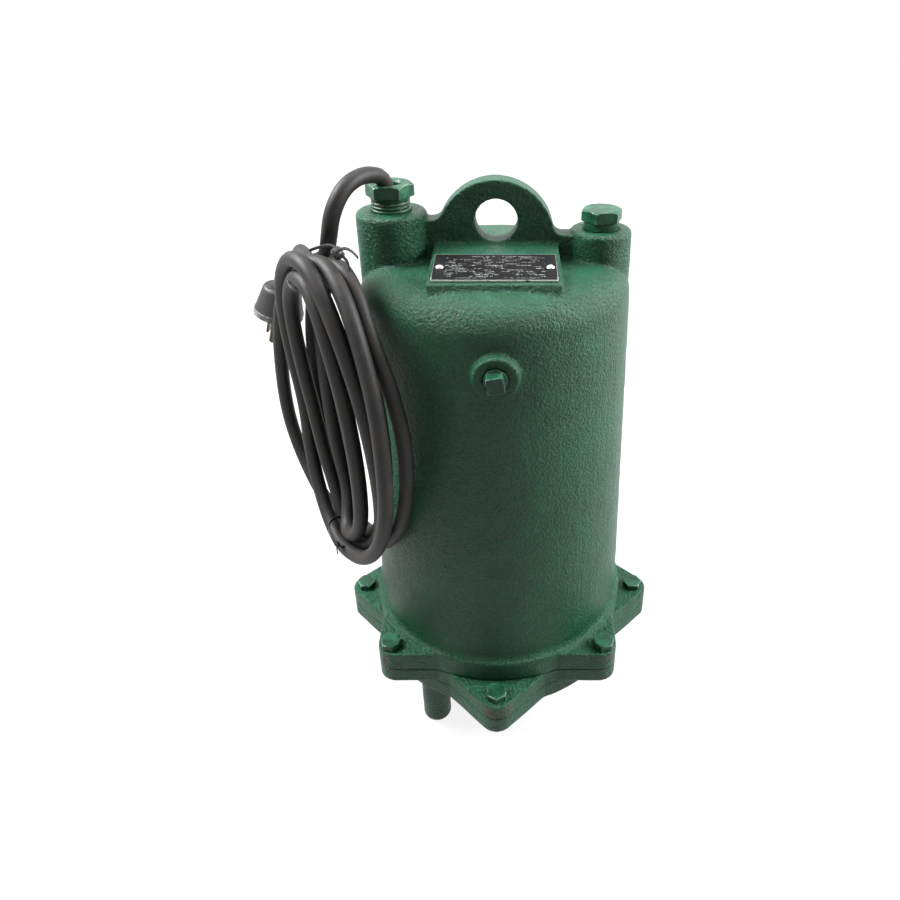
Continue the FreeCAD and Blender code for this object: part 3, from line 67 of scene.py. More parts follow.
class Sock:  # one socket of a node tree, so that shader maths reads as plain expressions
    def __init__(self, tree, out):
        self.tree = tree
        self.out = out

    def node(self, kind, settings=None, inputs=None, out=0):
        # Any node: its settings first, then the values or links of its sockets.
        made = self.tree.nodes.new("ShaderNode" + kind)
        for key, value in (settings or {}).items():
            setattr(made, key, value)
        for key, value in (inputs or {}).items():
            socket = made.inputs[key]
            if isinstance(value, Sock):
                self.tree.links.new(value.out, socket)
            elif socket.type == "RGBA":
                socket.default_value = (*value, 1.0)
            else:
                socket.default_value = value
        return Sock(self.tree, made.outputs[out])

    def maths(self, operation, first, second=0.0):
        return self.node("Math", {"operation": operation}, {0: first, 1: second})

    def __add__(self, other): return self.maths("ADD", self, other)
    def __radd__(self, other): return self.maths("ADD", other, self)
    def __sub__(self, other): return self.maths("SUBTRACT", self, other)
    def __rsub__(self, other): return self.maths("SUBTRACT", other, self)
    def __mul__(self, other): return self.maths("MULTIPLY", self, other)
    def __rmul__(self, other): return self.maths("MULTIPLY", other, self)
    def __pow__(self, other): return self.maths("POWER", self, other)
    def absolute(self): return self.maths("ABSOLUTE", self)
    def floor(self): return self.maths("FLOOR", self)
    def sine(self): return self.maths("SINE", self)
    def least(self, other): return self.maths("MINIMUM", self, other)

    def band(self, low, high):  # 0 below low, 1 above high, smooth between
        return self.node("MapRange", {"interpolation_type": "SMOOTHSTEP"},
                         {"Value": self, "From Min": low, "From Max": high})

    def within(self, start, full, fading, end):  # 1 between full and fading, 0 outside start and end
        return self.band(start, full) * (1 - self.band(fading, end))

    def spread(self, low, high):  # 0 becomes low and 1 becomes high
        return self * (high - low) + low

    def mix(self, first, second):  # this mask blends two colours
        return self.node("Mix", {"data_type": "RGBA"}, {0: self, 6: first, 7: second}, out=2)

    def over(self, colour, tone, share):  # this mask lays a share of a tone over a colour
        return (self * share).mix(colour, tone)

    def grey(self):
        return self.mix((0.0, 0.0, 0.0), (1.0, 1.0, 1.0))

    def noise(self, scale, detail, rough):
        return self.node("TexNoise", inputs={"Vector": self, "Scale": scale, "Detail": detail,
                                             "Roughness": rough})

    def blotch(self, scale, detail, rough, low, high):  # a noise cut to a mask
        return self.noise(scale, detail, rough).band(low, high)

    def whiteNoise(self, x, y, z=0.0):  # one random value for each whole x, y and z
        cell = self.node("CombineXYZ", inputs={0: x, 1: y, 2: z})
        return self.node("TexWhiteNoise", inputs={"Vector": cell})

    def axis(self, which):
        return self.node("SeparateXYZ", inputs={0: self}, out="XYZ".index(which))

    def reach(self, centreY):  # distance from the upright line at x = 0 and that y
        x, y = self.axis("X"), self.axis("Y") - centreY
        return (x * x + y * y) ** 0.5

    def geometry(self, what):
        return self.node("NewGeometry", out=what)

    def bump(self, height, depth):
        return self.node("Bump", inputs={"Height": height, "Strength": 1.0, "Distance": depth})


def newMaterial(name):
    material = bpy.data.materials.new(name)
    material.use_nodes = True
    tree = material.node_tree
    place = tree.nodes.new("ShaderNodeTexCoord").outputs["Object"]
    return material, tree, Sock(tree, place)


def setShader(tree, values):
    shader = tree.nodes["Principled BSDF"]
    for key, value in values.items():
        if isinstance(value, Sock):
            tree.links.new(value.out, shader.inputs[key])
        elif key == "Base Color":
            shader.inputs[key].default_value = (*value, 1.0)
        else:
            shader.inputs[key].default_value = value


def seenDirectly(tree):  # rays that come straight from the camera, or by a shiny or clear surface
    rays = tree.nodes.new("ShaderNodeLightPath")
    camera, glossy, clear = (Sock(tree, rays.outputs[kind])
                             for kind in ("Is Camera Ray", "Is Glossy Ray", "Is Transmission Ray"))
    return (camera + glossy + clear).band(0.4, 0.6)  # a whole number of kinds, cut to 0 or 1


# The camera stands where the photograph was taken. A soft sky that is dark in front and four lamps
# light the pump from above, from behind and from both sides.
photoView = {"place": (0.0118, axisY - 0.4472, 0.4828), "tiltDown": 28.425, "lens": 30.173, "sensor": 36.0,
             "shift": (-0.0715, -0.0722), "nearest": 0.01}
sky = {"low": 0.02, "high": 0.65, "rise": (-0.1, 1.0),
       # the share that is left in front of the pump, and where along Y it grows to the whole
       "front": 0.08, "ahead": (-0.75, 0.35)}
# Each lamp: place, size and power.
lamps = {"key": ((0.15, 0.25, 1.35), 0.8, 9.5), "back": ((0.1, 1.3, 0.85), 1.2, 3.0),
         "left": ((-0.85, 0.10, 1.10), 0.5, 40.0), "right": ((1.15, 0.10, 0.80), 0.6, 38.0)}
lampTarget = Vector((0, axisY, 0.2))
paper = {"radius": 3.5, "sides": 96, "tone": (0.15, 0.15, 0.148), "rough": 0.9,
         # its own glow near the pump and far from it, and the distances between which it grows
         "nearGlow": 0.87, "farGlow": 1.0, "glowSpan": (0.40, 1.1)}


def makeCamera():
    data = bpy.data.cameras.new("photoCamera")
    data.lens = photoView["lens"]
    data.sensor_width = photoView["sensor"]
    data.shift_x, data.shift_y = photoView["shift"]
    data.clip_start = photoView["nearest"]
    view = addPiece("photoCamera", data)
    view.location = photoView["place"]
    view.rotation_euler = Euler((math.radians(90 - photoView["tiltDown"]), 0, 0))
    bpy.context.scene.camera = view


def makeSky():
    world = bpy.data.worlds.new("studioWorld")
    bpy.context.scene.world = world
    world.use_nodes = True
    tree = world.node_tree
    toSky = Sock(tree, tree.nodes.new("ShaderNodeTexCoord").outputs["Generated"])
    ahead = toSky.axis("Y").band(*sky["ahead"]).spread(sky["front"], 1.0)
    glow = toSky.axis("Z").band(*sky["rise"]).spread(sky["low"], sky["high"]) * ahead
    shown = seenDirectly(tree).mix(glow.grey(), (1.0, 1.0, 1.0))
    tree.links.new(shown.out, tree.nodes["Background"].inputs["Color"])


def makeLamps():
    for name, (place, size, power) in lamps.items():
        data = bpy.data.lights.new(name, "AREA")
        data.size = size
        data.energy = power
        lamp = addPiece(name, data)
        lamp.location = place
        lamp.rotation_euler = (lampTarget - Vector(place)).to_track_quat("-Z", "Y").to_euler()


def makeFloor():
    sides = paper["sides"]
    turns = [2 * math.pi * i / sides for i in range(sides)]
    ring = [(paper["radius"] * math.cos(turn), paper["radius"] * math.sin(turn), 0) for turn in turns]
    mesh = bpy.data.meshes.new("studioFloor")
    mesh.from_pydata(ring, [], [list(range(sides))])
    floor = addPiece("studioFloor", mesh)
    material, tree, place = newMaterial("studioPaper")
    glow = place.reach(0.0).band(*paper["glowSpan"]).spread(paper["nearGlow"], paper["farGlow"])
    setShader(tree, {"Base Color": paper["tone"], "Roughness": paper["rough"], "Specular IOR Level": 0.0,
                     "Emission Color": (seenDirectly(tree) * glow).grey(), "Emission Strength": 1.0})
    mesh.materials.append(material)


bpy.context.scene.view_settings.view_transform = "Standard"
makeCamera()
makeSky()
makeLamps()
makeFloor()
print("stage: camera and studio")


# The cord: one line from the gland, round the coil's five loops, to the plug. Places are in
# millimetres from the shaft's axis; the coil's own are along its plane, up, and out from the axis.
cord = {"radius": 4.7 * mm, "exit": (-61.92, 0.0, 352.0), "order": 3, "steps": 5, "roundness": 5,
        # the points from the gland nut over to the coil, and from the coil towards the plug
        "feed": [(-61.9, 0.0, 352.0), (-61.9, 0.0, 378.5), (-70.7, -20.3, 386.5), (-80.2, -35.7, 383.5),
                 (-87.4, -41.9, 370.5), (-92.3, -35.4, 354.3)],
        "tail": [(-101.5, -48.6, 343.5), (-108.0, -33.2, 342.0), (-114.9, -15.5, 339.5),
                 (-121.1, 2.8, 332.5)]}
coil = {"azimuth": -140.0, "back": 95.5, "layer": 10.6, "turnsIn": 2.5, "pointsPerQuarter": 4,
        "start": (-40.2, 351.5), "startSlope": 39.0, "startLength": 9.4,
        # where each loop passes left, bottom, right and top: along and up, with the step of each loop
        "left": (-122.4, 222.0, 26.0), "bottom": (-40.0, 132.5, 11.2), "right": (54.0, 248.0, 24.0),
        "top": (-11.0, 349.0, 12.4), "topAlong": 6.0,
        # how far the loose loops stray from the even ones at each half quarter: along, up, out
        "strays": [(-9, -12, -8), (-8, -13, 3), (-6, -13, 4), (-3, -7, 2), (-2, -2, 1), (-3, -3, -5),
                   (-4, -1, -3), (-8, 0, 3), (-4, 4, -2), (2, 9, -4), (9, 8, -4), (8, 0, -3), (8, 2, 0),
                   (4, -6, 1), (1, -9, 1), (-2, -3, 1), (-4, 7, -3), (-3, 11, -1), (8, 3, 0),
                   (10, -6, -4), (9, -8, 6), (10, -8, 6), (9, -2, 8), (5, 8, 11), (-3, 13, 9),
                   (-3, 15, 3), (8, 6, -5), (12, -4, -7), (5, -8, -2), (3, -8, -4), (0, -6, 3),
                   (-3, 0, 8), (-8, 12, 9), (4, 13, 3), (16, 3, -7), (17, 3, 0), (12, 5, 6),
                   (0, 3, 6), (-10, -3, 5), (-13, -6, 2), (-9, -4, -2)]}
coilTurn = math.radians(coil["azimuth"])
coilOut = Vector((math.cos(coilTurn), math.sin(coilTurn), 0))
coilAlong = Vector((-coilOut.y, coilOut.x, 0))
# The plug: its face, its own axis, and the grip beside it that the cord comes out of.
plug = {"face": Vector((-155.0, 46.0, 272.7)), "axis": Vector((0.268, 0, 0.963)).normalized(),
        "grip": Vector((0.486, -0.628, 0.608)).normalized(), "elbow": 19.0, "gripLength": 20.0,
        "straight": 21.0, "inside": 3.0}


def coilSpot(along, height, out):
    return coilOut * out + coilAlong * along + Vector((0, 0, height))


def coilPass(quarter):
    # Left, bottom, right and top in turn: wound in on the back layer, out again on the front one.
    side = ("left", "bottom", "right", "top")[(quarter - 1) % 4]
    turn, turnsIn = quarter / 4, coil["turnsIn"]
    inward = turn if turn <= turnsIn else 2 * turnsIn - turn
    share = 0.0 if turn < turnsIn else (0.5 if turn == turnsIn else 1.0)
    along, height, step = coil[side]
    if side == "left":
        along += step * inward
    elif side == "right":
        along -= step * inward
    elif side == "bottom":
        height += step * inward
    else:
        along -= coil["topAlong"] * inward
        height -= step * inward
    return along, height, coil["back"] + coil["layer"] * share


def strayAt(quarter):
    place = quarter * 2
    low = min(int(place), len(coil["strays"]) - 2)
    return Vector(coil["strays"][low]).lerp(Vector(coil["strays"][low + 1]), place - low)


def coilLine():
    # A quarter of an ellipse from each pass to the next, its depth changing steadily, and then the strays.
    slope = math.radians(coil["startSlope"])
    startAlong, startHeight = coil["start"]
    before = (startAlong - math.cos(slope) * coil["startLength"],
              startHeight - math.sin(slope) * coil["startLength"], coil["back"])
    spots = [(0.0, (startAlong, startHeight, coil["back"])), (0.0, before)]
    quarters = int(2 * coil["turnsIn"] * 4)
    for quarter in range(1, quarters + 1):
        after = coilPass(quarter)
        centre = (before[0], after[1]) if quarter % 2 else (after[0], before[1])
        for i in range(1, coil["pointsPerQuarter"] + 1):
            share = i / coil["pointsPerQuarter"]
            fromBefore, fromAfter = math.cos(math.pi / 2 * share), math.sin(math.pi / 2 * share)
            along, height = (centre[k] + (before[k] - centre[k]) * fromBefore
                             + (after[k] - centre[k]) * fromAfter for k in range(2))
            out = before[2] + (after[2] - before[2]) * share
            spots.append((quarter - 1 + share, (along, height, out)))
        before = after
    return [coilSpot(*(Vector(spot) + strayAt(quarter))) for quarter, spot in spots]


def cordLine():
    gripEnd = plug["face"] + plug["axis"] * plug["elbow"] + plug["grip"] * plug["gripLength"]
    intoPlug = [gripEnd + plug["grip"] * plug["straight"], gripEnd - plug["grip"] * plug["inside"]]
    return [fromShaft(*spot) for spot in cord["feed"] + coilLine() + cord["tail"] + intoPlug]


def splineLength(curve):
    bare = curve.copy()
    bare.bevel_depth = 0.0
    probe = bpy.data.objects.new("probe", bare)
    line = bpy.data.meshes.new_from_object(probe)
    spots = np.array([point.co for point in line.vertices])
    bpy.data.objects.remove(probe)
    bpy.data.meshes.remove(line)
    return float(np.linalg.norm(np.diff(spots, axis=0), axis=1).sum())


def makeCord():
    curve = bpy.data.curves.new("powerCordLine", "CURVE")
    curve.dimensions = "3D"
    points = cordLine()
    spline = curve.splines.new("NURBS")
    spline.points.add(len(points) - 1)
    for target, spot in zip(spline.points, points):
        target.co = (*spot, 1.0)
    spline.order_u = cord["order"]
    spline.use_endpoint_u = True
    spline.resolution_u = cord["steps"]
    curve.bevel_depth = cord["radius"]
    curve.bevel_resolution = cord["roundness"]
    return addPiece("powerCordWhole", curve)


cordPiece = makeCord()
cordLength = splineLength(cordPiece.data)
print("stage: cord line", round(cordLength, 3))


# Finishes. A noise is given by scale, detail and roughness; a mask by the same and then the values
# where it starts and is full; a span by those two values alone, or with those where it fades and ends.
# The paint's last tone is painted shade, laid into the hollows and roots of both green finishes.
paint = {"deep": (0.0026, 0.030, 0.014), "main": (0.0056, 0.066, 0.031), "light": (0.034, 0.175, 0.100),
         "shadeInHollows": (0.0025, 0.013, 0.008)}
ironLook = {
    "patch": (80.0, 4.0, 0.6), "patchSpan": (0.46, 0.76), "pebble": (560.0, 3.0, 0.6),
    "pebbleSpan": (0.26, 0.60), "sand": (1500.0, 2.0, 0.6), "broad": (14.0, 3.0, 0.55, 0.48, 0.78),
    "unpitted": (700.0, 2.0, 0.5, 0.30, 0.40), "speckle": (900.0, 3.0, 0.7, 0.66, 0.74),
    "knocks": (120.0, 5.0, 0.65, 0.48, 0.56), "metal": (300.0, 4.0, 0.6, 0.35, 0.65),
    "rubsAndHighlight": (260.0, 3.0, 0.6, 0.45, 0.62),
    # faces that are too level for the seams' painted shadow, hollows where shade is painted dark, and edges
    # that are rubbed lighter with a painted highlight
    "level": (0.35, 0.75), "hollow": (0.43, 0.485), "edge": (0.52, 0.58),
    "dustTone": (0.15, 0.20, 0.16), "seamShadowTone": (0.004, 0.010, 0.007), "ironTone": (0.055, 0.040, 0.031),
    "metalTone": (0.15, 0.135, 0.12),
    # heights of the gaps between the castings, where a painted shadow runs along them, and how far from them
    "seams": (50.7 * mm, 62.0 * mm), "seamShadowSpan": (0.32 * mm, 0.8 * mm),
    # the flanges' corners, knocked bare: how far from the shaft, and between which heights
    "bareReach": (107.0 * mm, 112.0 * mm, 115.0 * mm, 116.0 * mm),
    "bareHeight": (49.0 * mm, 50.0 * mm, 76.5 * mm, 77.5 * mm),
    "share": {"patch": 0.20, "broad": 0.25, "pits": 0.55, "speckle": 0.20, "seams": 0.85, "bare": 0.8,
              "shadedHollows": 0.65, "rubsAndHighlight": 0.30},
    "rough": {"least": 0.30, "patch": 0.16, "pits": 0.15, "bare": 0.25},
    "bump": {"pebble": 1.0, "sand": 0.25, "pits": 0.30, "patch": 0.5, "depth": 1.3 * mm}, "gloss": 0.27}


def paintedIron():
    # Brushed-on green over sand-cast iron: pebbled, thin and darker in places, bare at knocked corners;
    # painted shade in the hollows, painted shadow along the seams and a painted highlight on rubbed edges.
    look, share, rough, bump = ironLook, ironLook["share"], ironLook["rough"], ironLook["bump"]
    material, tree, place = newMaterial("greenPaintOnIron")
    patch, pebble, sand = (place.noise(*look[grain]) for grain in ("patch", "pebble", "sand"))
    pits = 1 - place.blotch(*look["unpitted"])
    height, pointed = place.axis("Z"), place.geometry("Pointiness")
    upright = 1 - place.geometry("Normal").axis("Z").absolute().band(*look["level"])
    colour = pebble.band(*look["pebbleSpan"]).mix(paint["deep"], paint["main"])
    colour = patch.band(*look["patchSpan"]).over(colour, paint["light"], share["patch"])
    colour = place.blotch(*look["broad"]).over(colour, paint["light"], share["broad"])
    colour = pits.over(colour, paint["deep"], share["pits"])
    colour = place.blotch(*look["speckle"]).over(colour, look["dustTone"], share["speckle"])
    # Painted shadow: a dark line along each gap between the castings, on upright faces.
    lowerSeamShadow, upperSeamShadow = (1 - (height - seam).absolute().band(*look["seamShadowSpan"]) for seam in look["seams"])
    colour = ((lowerSeamShadow + upperSeamShadow) * upright).over(colour, look["seamShadowTone"], share["seams"])
    corners = place.reach(axisY).within(*look["bareReach"]) * height.within(*look["bareHeight"])
    bare = corners * place.blotch(*look["knocks"]) * upright
    metal = place.blotch(*look["metal"]).mix(look["ironTone"], look["metalTone"])
    colour = bare.over(colour, metal, share["bare"])
    # Painted shade: hollows and roots are darkened where shade would fall.
    colour = (1 - pointed.band(*look["hollow"])).over(colour, paint["shadeInHollows"], share["shadedHollows"])
    # Rubbed edges: partly lighter worn paint, partly a painted highlight along the convex edges.
    rubbedEdgesAndHighlight = pointed.band(*look["edge"]) * place.blotch(*look["rubsAndHighlight"])
    colour = rubbedEdgesAndHighlight.over(colour, paint["light"], share["rubsAndHighlight"])
    roughness = rough["least"] + patch * rough["patch"] + pits * rough["pits"] + bare * rough["bare"]
    relief = pebble * bump["pebble"] + sand * bump["sand"] - pits * bump["pits"] + patch * bump["patch"]
    setShader(tree, {"Base Color": colour, "Roughness": roughness, "Specular IOR Level": look["gloss"],
                     "Normal": place.bump(relief, bump["depth"])})
    return material


steelLook = {
    "patch": (160.0, 4.0, 0.6), "patchSpan": (0.35, 0.7), "fine": (900.0, 2.0, 0.6),
    "broad": (70.0, 3.0, 0.5, 0.42, 0.7), "edgeHighlight": (240.0, 3.0, 0.7, 0.40, 0.56),
    "chips": (420.0, 3.0, 0.7, 0.60, 0.68), "hollow": (0.44, 0.49), "edge": (0.51, 0.56),
    # the light green along the edges is a painted highlight; the chips are bare steel
    "edgeHighlightTone": (0.20, 0.34, 0.21), "chipTone": (0.50, 0.50, 0.40),
    "share": {"broad": 0.45, "shadedHollows": 0.7, "edgeHighlight": 0.8, "chips": 0.85},
    "rough": {"least": 0.30, "patch": 0.2}, "chipMetal": 0.6,
    "bump": {"patch": 0.7, "fine": 0.4, "depth": 0.6 * mm}, "gloss": 0.3}


def paintedSteel():
    # The same paint on machined fittings: smoother, with light chips along the highest edges, a painted
    # highlight along the edges and painted shade in the hollows.
    look, share, rough, bump = steelLook, steelLook["share"], steelLook["rough"], steelLook["bump"]
    material, tree, place = newMaterial("greenPaintOnSteel")
    patch, fine = place.noise(*look["patch"]), place.noise(*look["fine"])
    pointed = place.geometry("Pointiness")
    edge = pointed.band(*look["edge"])
    chips = edge * place.blotch(*look["chips"])
    colour = patch.band(*look["patchSpan"]).mix(paint["deep"], paint["main"])
    colour = place.blotch(*look["broad"]).over(colour, paint["light"], share["broad"])
    # Painted shade: hollows and roots are darkened where shade would fall.
    colour = (1 - pointed.band(*look["hollow"])).over(colour, paint["shadeInHollows"], share["shadedHollows"])
    # Painted highlight: a patchy lighter green along the sharp edges.
    colour = (edge * place.blotch(*look["edgeHighlight"])).over(colour, look["edgeHighlightTone"], share["edgeHighlight"])
    colour = chips.over(colour, look["chipTone"], share["chips"])
    relief = patch * bump["patch"] + fine * bump["fine"]
    setShader(tree, {"Base Color": colour, "Roughness": rough["least"] + patch * rough["patch"],
                     "Metallic": chips * look["chipMetal"], "Specular IOR Level": look["gloss"],
                     "Normal": place.bump(relief, bump["depth"])})
    return material


jacketLook = {"dust": (60.0, 5.0, 0.65), "dustSpan": (0.38, 0.72), "scuffs": (500.0, 3.0, 0.7, 0.60, 0.72),
              "grain": (1500.0, 2.0, 0.5), "dark": (0.0095, 0.0088, 0.0086), "light": (0.022, 0.0195, 0.018),
              "scuffTone": (0.14, 0.13, 0.12), "scuffShare": 0.09, "rough": {"least": 0.50, "dust": 0.14},
              "bump": {"grain": 0.3, "dust": 0.4, "depth": 0.4 * mm}, "gloss": 0.32}


def cordRubber():
    # Black jacket, dusty and rubbed brownish grey.
    look, rough, bump = jacketLook, jacketLook["rough"], jacketLook["bump"]
    material, tree, place = newMaterial("cordJacket")
    dust = place.noise(*look["dust"])
    colour = dust.band(*look["dustSpan"]).mix(look["dark"], look["light"])
    colour = place.blotch(*look["scuffs"]).over(colour, look["scuffTone"], look["scuffShare"])
    relief = place.noise(*look["grain"]) * bump["grain"] + dust * bump["dust"]
    setShader(tree, {"Base Color": colour, "Roughness": rough["least"] + dust * rough["dust"],
                     "Specular IOR Level": look["gloss"], "Normal": place.bump(relief, bump["depth"])})
    return material


plateLook = {
    "centre": (0.9, -42.0), "half": (35.0, 16.4),
    # the bright rim along the edge, chipped bare metal, with a painted highlight that is full on the front
    # edge and fainter behind it
    "rimSpan": (0.15, 0.45), "rimChips": (260.0, 3.0, 0.7, 0.28, 0.46), "rimBack": 0.30,
    "rimFront": (-12.8, -12.0),
    # rows of plain blocks: distance between rows, and blocks and groups of blocks to a millimetre
    "pitch": 1.95, "blocks": 1.55, "groups": 0.23, "blockShift": 0.37, "groupShift": 0.3,
    "groupSeed": 5.0, "heightSeed": 9.0, "halfHeight": (0.12, 0.24), "softness": 0.06,
    "blockSpan": (0.28, 0.32), "groupSpan": (0.42, 0.44), "sideMargin": (1.8, 2.2), "endMargin": (6.6, 6.9),
    "wear": (600.0, 3.0, 0.7, 0.30, 0.65), "wornLeast": 0.35,
    "scratches": (900.0, 4.0, 0.7, 0.66, 0.75), "reflectionPatch": (30.0, 3.0, 0.6, 0.45, 0.75),
    "reflectionGrain": (300.0, 4.0, 0.7), "black": (0.0045, 0.0045, 0.005), "reflectionTone": (0.16, 0.165, 0.155),
    "scratchTone": (0.30, 0.31, 0.30), "blockTone": (0.46, 0.48, 0.46), "rimAndHighlightTone": (0.50, 0.56, 0.52),
    "share": {"reflectionPatch": 0.08, "scratches": 0.12, "blocks": 0.55},
    "rough": {"least": 0.48, "scratches": 0.2}, "rimMetal": 0.5,
    "bump": {"blocks": 0.3, "scratches": 0.3, "depth": 0.2 * mm}, "gloss": 0.08}


def plateFinish():
    # Black plate with a thin bright rim, its front edge a painted highlight, a faint painted reflection, and
    # rows of plain blocks where the wording would be.
    look, share, rough, bump = plateLook, plateLook["share"], plateLook["rough"], plateLook["bump"]
    material, tree, place = newMaterial("plateBlack")
    centreX, centreY, _ = fromShaft(*look["centre"], 0.0)
    across, down = (place.axis("X") - centreX) * (1 / mm), (place.axis("Y") - centreY) * (1 / mm)
    halfX, halfY = look["half"]
    fromEnd = halfX - across.absolute()
    inside = fromEnd.least(halfY - down.absolute())
    behind = down.band(*look["rimFront"])
    # The rim is bare metal with a painted highlight: full on the front edge, fainter behind it.
    rim = (1 - inside.band(*look["rimSpan"])) * place.blotch(*look["rimChips"])
    rim = rim * behind.spread(1.0, look["rimBack"])
    level = down * (1 / look["pitch"]) + 0.5
    row = level.floor()
    fromRow = (level - row - 0.5).absolute()
    block = (across * look["blocks"] + row * look["blockShift"]).floor()
    group = (across * look["groups"] + row * look["groupShift"]).floor()
    halfHeight = place.whiteNoise(row, look["heightSeed"]).spread(*look["halfHeight"])
    shown = place.whiteNoise(block, row).band(*look["blockSpan"])
    word = place.whiteNoise(group, row, look["groupSeed"]).band(*look["groupSpan"])
    blocks = (halfHeight - fromRow).band(0.0, look["softness"]) * shown * word
    blocks = blocks * inside.band(*look["sideMargin"]) * fromEnd.band(*look["endMargin"])
    blocks = blocks * place.blotch(*look["wear"]).spread(look["wornLeast"], 1.0)
    scratches = place.blotch(*look["scratches"])
    # Painted reflection: a faint grey patch of sheen on the black face.
    reflectionPatch = place.blotch(*look["reflectionPatch"]) * place.noise(*look["reflectionGrain"])
    colour = (reflectionPatch * share["reflectionPatch"]).mix(look["black"], look["reflectionTone"])
    colour = scratches.over(colour, look["scratchTone"], share["scratches"])
    colour = blocks.over(colour, look["blockTone"], share["blocks"])
    colour = rim.mix(colour, look["rimAndHighlightTone"])
    relief = blocks * bump["blocks"] + scratches * bump["scratches"]
    setShader(tree, {"Base Color": colour, "Roughness": rough["least"] + scratches * rough["scratches"],
                     "Metallic": rim * look["rimMetal"], "Specular IOR Level": look["gloss"],
                     "Normal": place.bump(relief, bump["depth"])})
    return material


# The rest of the slots: a cloudy tone from dark to light, and some with the marks of their making.
simpleLook = {"detail": 4.0, "grain": 0.6, "span": (0.32, 0.7), "roughMore": 0.14, "coatRough": 0.2,
              # waves in radians to a metre: rings round the shaft, thin sheets, wound wire
              "rings": 9000.0, "ringsUp": 8000.0, "sheets": 12566.0, "wires": 7500.0, "wireWander": 5.0,
              # how much of the cloud and of the marks goes into the relief
              "turned": (0.5, 0.12), "stack": (0.3, 0.4), "wound": (0.0, 0.8)}
slotLooks = {
    "rivet": {"name": "brightRivet", "dark": (0.36, 0.37, 0.37), "light": (0.60, 0.61, 0.62),
              "rough": 0.26, "metal": 1.0, "scale": 500.0, "depth": 0.1 * mm},
    "brass": {"name": "turnedBrass", "dark": (0.52, 0.36, 0.13), "light": (0.72, 0.54, 0.24),
              "rough": 0.22, "metal": 1.0, "scale": 300.0, "depth": 0.2 * mm, "marks": "turned"},
    "rubber": {"name": "ringRubber", "dark": (0.010, 0.010, 0.010), "light": (0.022, 0.022, 0.021),
               "rough": 0.5, "scale": 700.0, "depth": 0.2 * mm},
    "lamination": {"name": "stackedSheet", "dark": (0.20, 0.20, 0.21), "light": (0.38, 0.38, 0.40),
                   "rough": 0.34, "metal": 1.0, "scale": 250.0, "depth": 0.3 * mm, "marks": "stack"},
    "copper_winding": {"name": "woundCopper", "dark": (0.22, 0.07, 0.025), "light": (0.55, 0.20, 0.07),
                       "rough": 0.25, "metal": 0.7, "scale": 260.0, "depth": 0.7 * mm, "marks": "wound",
                       "coat": 0.4},
    "steel": {"name": "plainSteel", "dark": (0.42, 0.43, 0.44), "light": (0.62, 0.63, 0.64),
              "rough": 0.24, "metal": 1.0, "scale": 240.0, "depth": 0.2 * mm, "marks": "turned"},
    "bare_iron": {"name": "bareCastIron", "dark": (0.07, 0.07, 0.072), "light": (0.17, 0.17, 0.17),
                  "rough": 0.5, "metal": 0.75, "scale": 520.0, "depth": 0.8 * mm},
    "bearing_steel": {"name": "groundSteel", "dark": (0.62, 0.63, 0.65), "light": (0.80, 0.81, 0.83),
                      "rough": 0.07, "metal": 1.0, "scale": 160.0, "depth": 0.05 * mm},
    "cage_steel": {"name": "pressedSteel", "dark": (0.45, 0.44, 0.42), "light": (0.62, 0.60, 0.56),
                   "rough": 0.3, "metal": 1.0, "scale": 300.0, "depth": 0.2 * mm},
    "cast_aluminium": {"name": "castAluminium", "dark": (0.50, 0.51, 0.52), "light": (0.70, 0.71, 0.72),
                       "rough": 0.4, "metal": 1.0, "scale": 420.0, "depth": 0.5 * mm},
    "ceramic": {"name": "lappedCeramic", "dark": (0.78, 0.76, 0.70), "light": (0.88, 0.87, 0.82),
                "rough": 0.12, "scale": 120.0, "depth": 0.05 * mm, "coat": 0.3},
    "carbon": {"name": "carbonRing", "dark": (0.012, 0.012, 0.014), "light": (0.035, 0.035, 0.038),
               "rough": 0.28, "scale": 600.0, "depth": 0.1 * mm},
    "capacitor_can": {"name": "drawnCan", "dark": (0.60, 0.61, 0.63), "light": (0.78, 0.79, 0.80),
                      "rough": 0.25, "metal": 1.0, "scale": 150.0, "depth": 0.2 * mm},
    "black_plastic": {"name": "mouldedBlack", "dark": (0.006, 0.006, 0.0065), "light": (0.015, 0.015, 0.0155),
                      "rough": 0.42, "scale": 800.0, "depth": 0.3 * mm},
    "plug_face": {"name": "mouldedGrey", "dark": (0.055, 0.052, 0.050), "light": (0.32, 0.31, 0.30),
                  "rough": 0.5, "scale": 260.0, "depth": 0.4 * mm},
    "wire_insulation": {"name": "wireInsulation", "dark": (0.50, 0.48, 0.42), "light": (0.66, 0.63, 0.56),
                        "rough": 0.4, "scale": 500.0, "depth": 0.2 * mm},
    "splice_plastic": {"name": "crimpSleeve", "dark": (0.60, 0.52, 0.30), "light": (0.74, 0.66, 0.42),
                       "rough": 0.3, "scale": 400.0, "depth": 0.2 * mm, "coat": 0.2},
    "tie_nylon": {"name": "blackNylon", "dark": (0.008, 0.008, 0.009), "light": (0.018, 0.018, 0.019),
                  "rough": 0.35, "scale": 900.0, "depth": 0.1 * mm}}
prongLook = {"name": "agedBrass", "dark": (0.040, 0.032, 0.018), "light": (0.12, 0.095, 0.05),
             "rough": 0.35, "metal": 0.8, "scale": 400.0, "depth": 0.3 * mm}


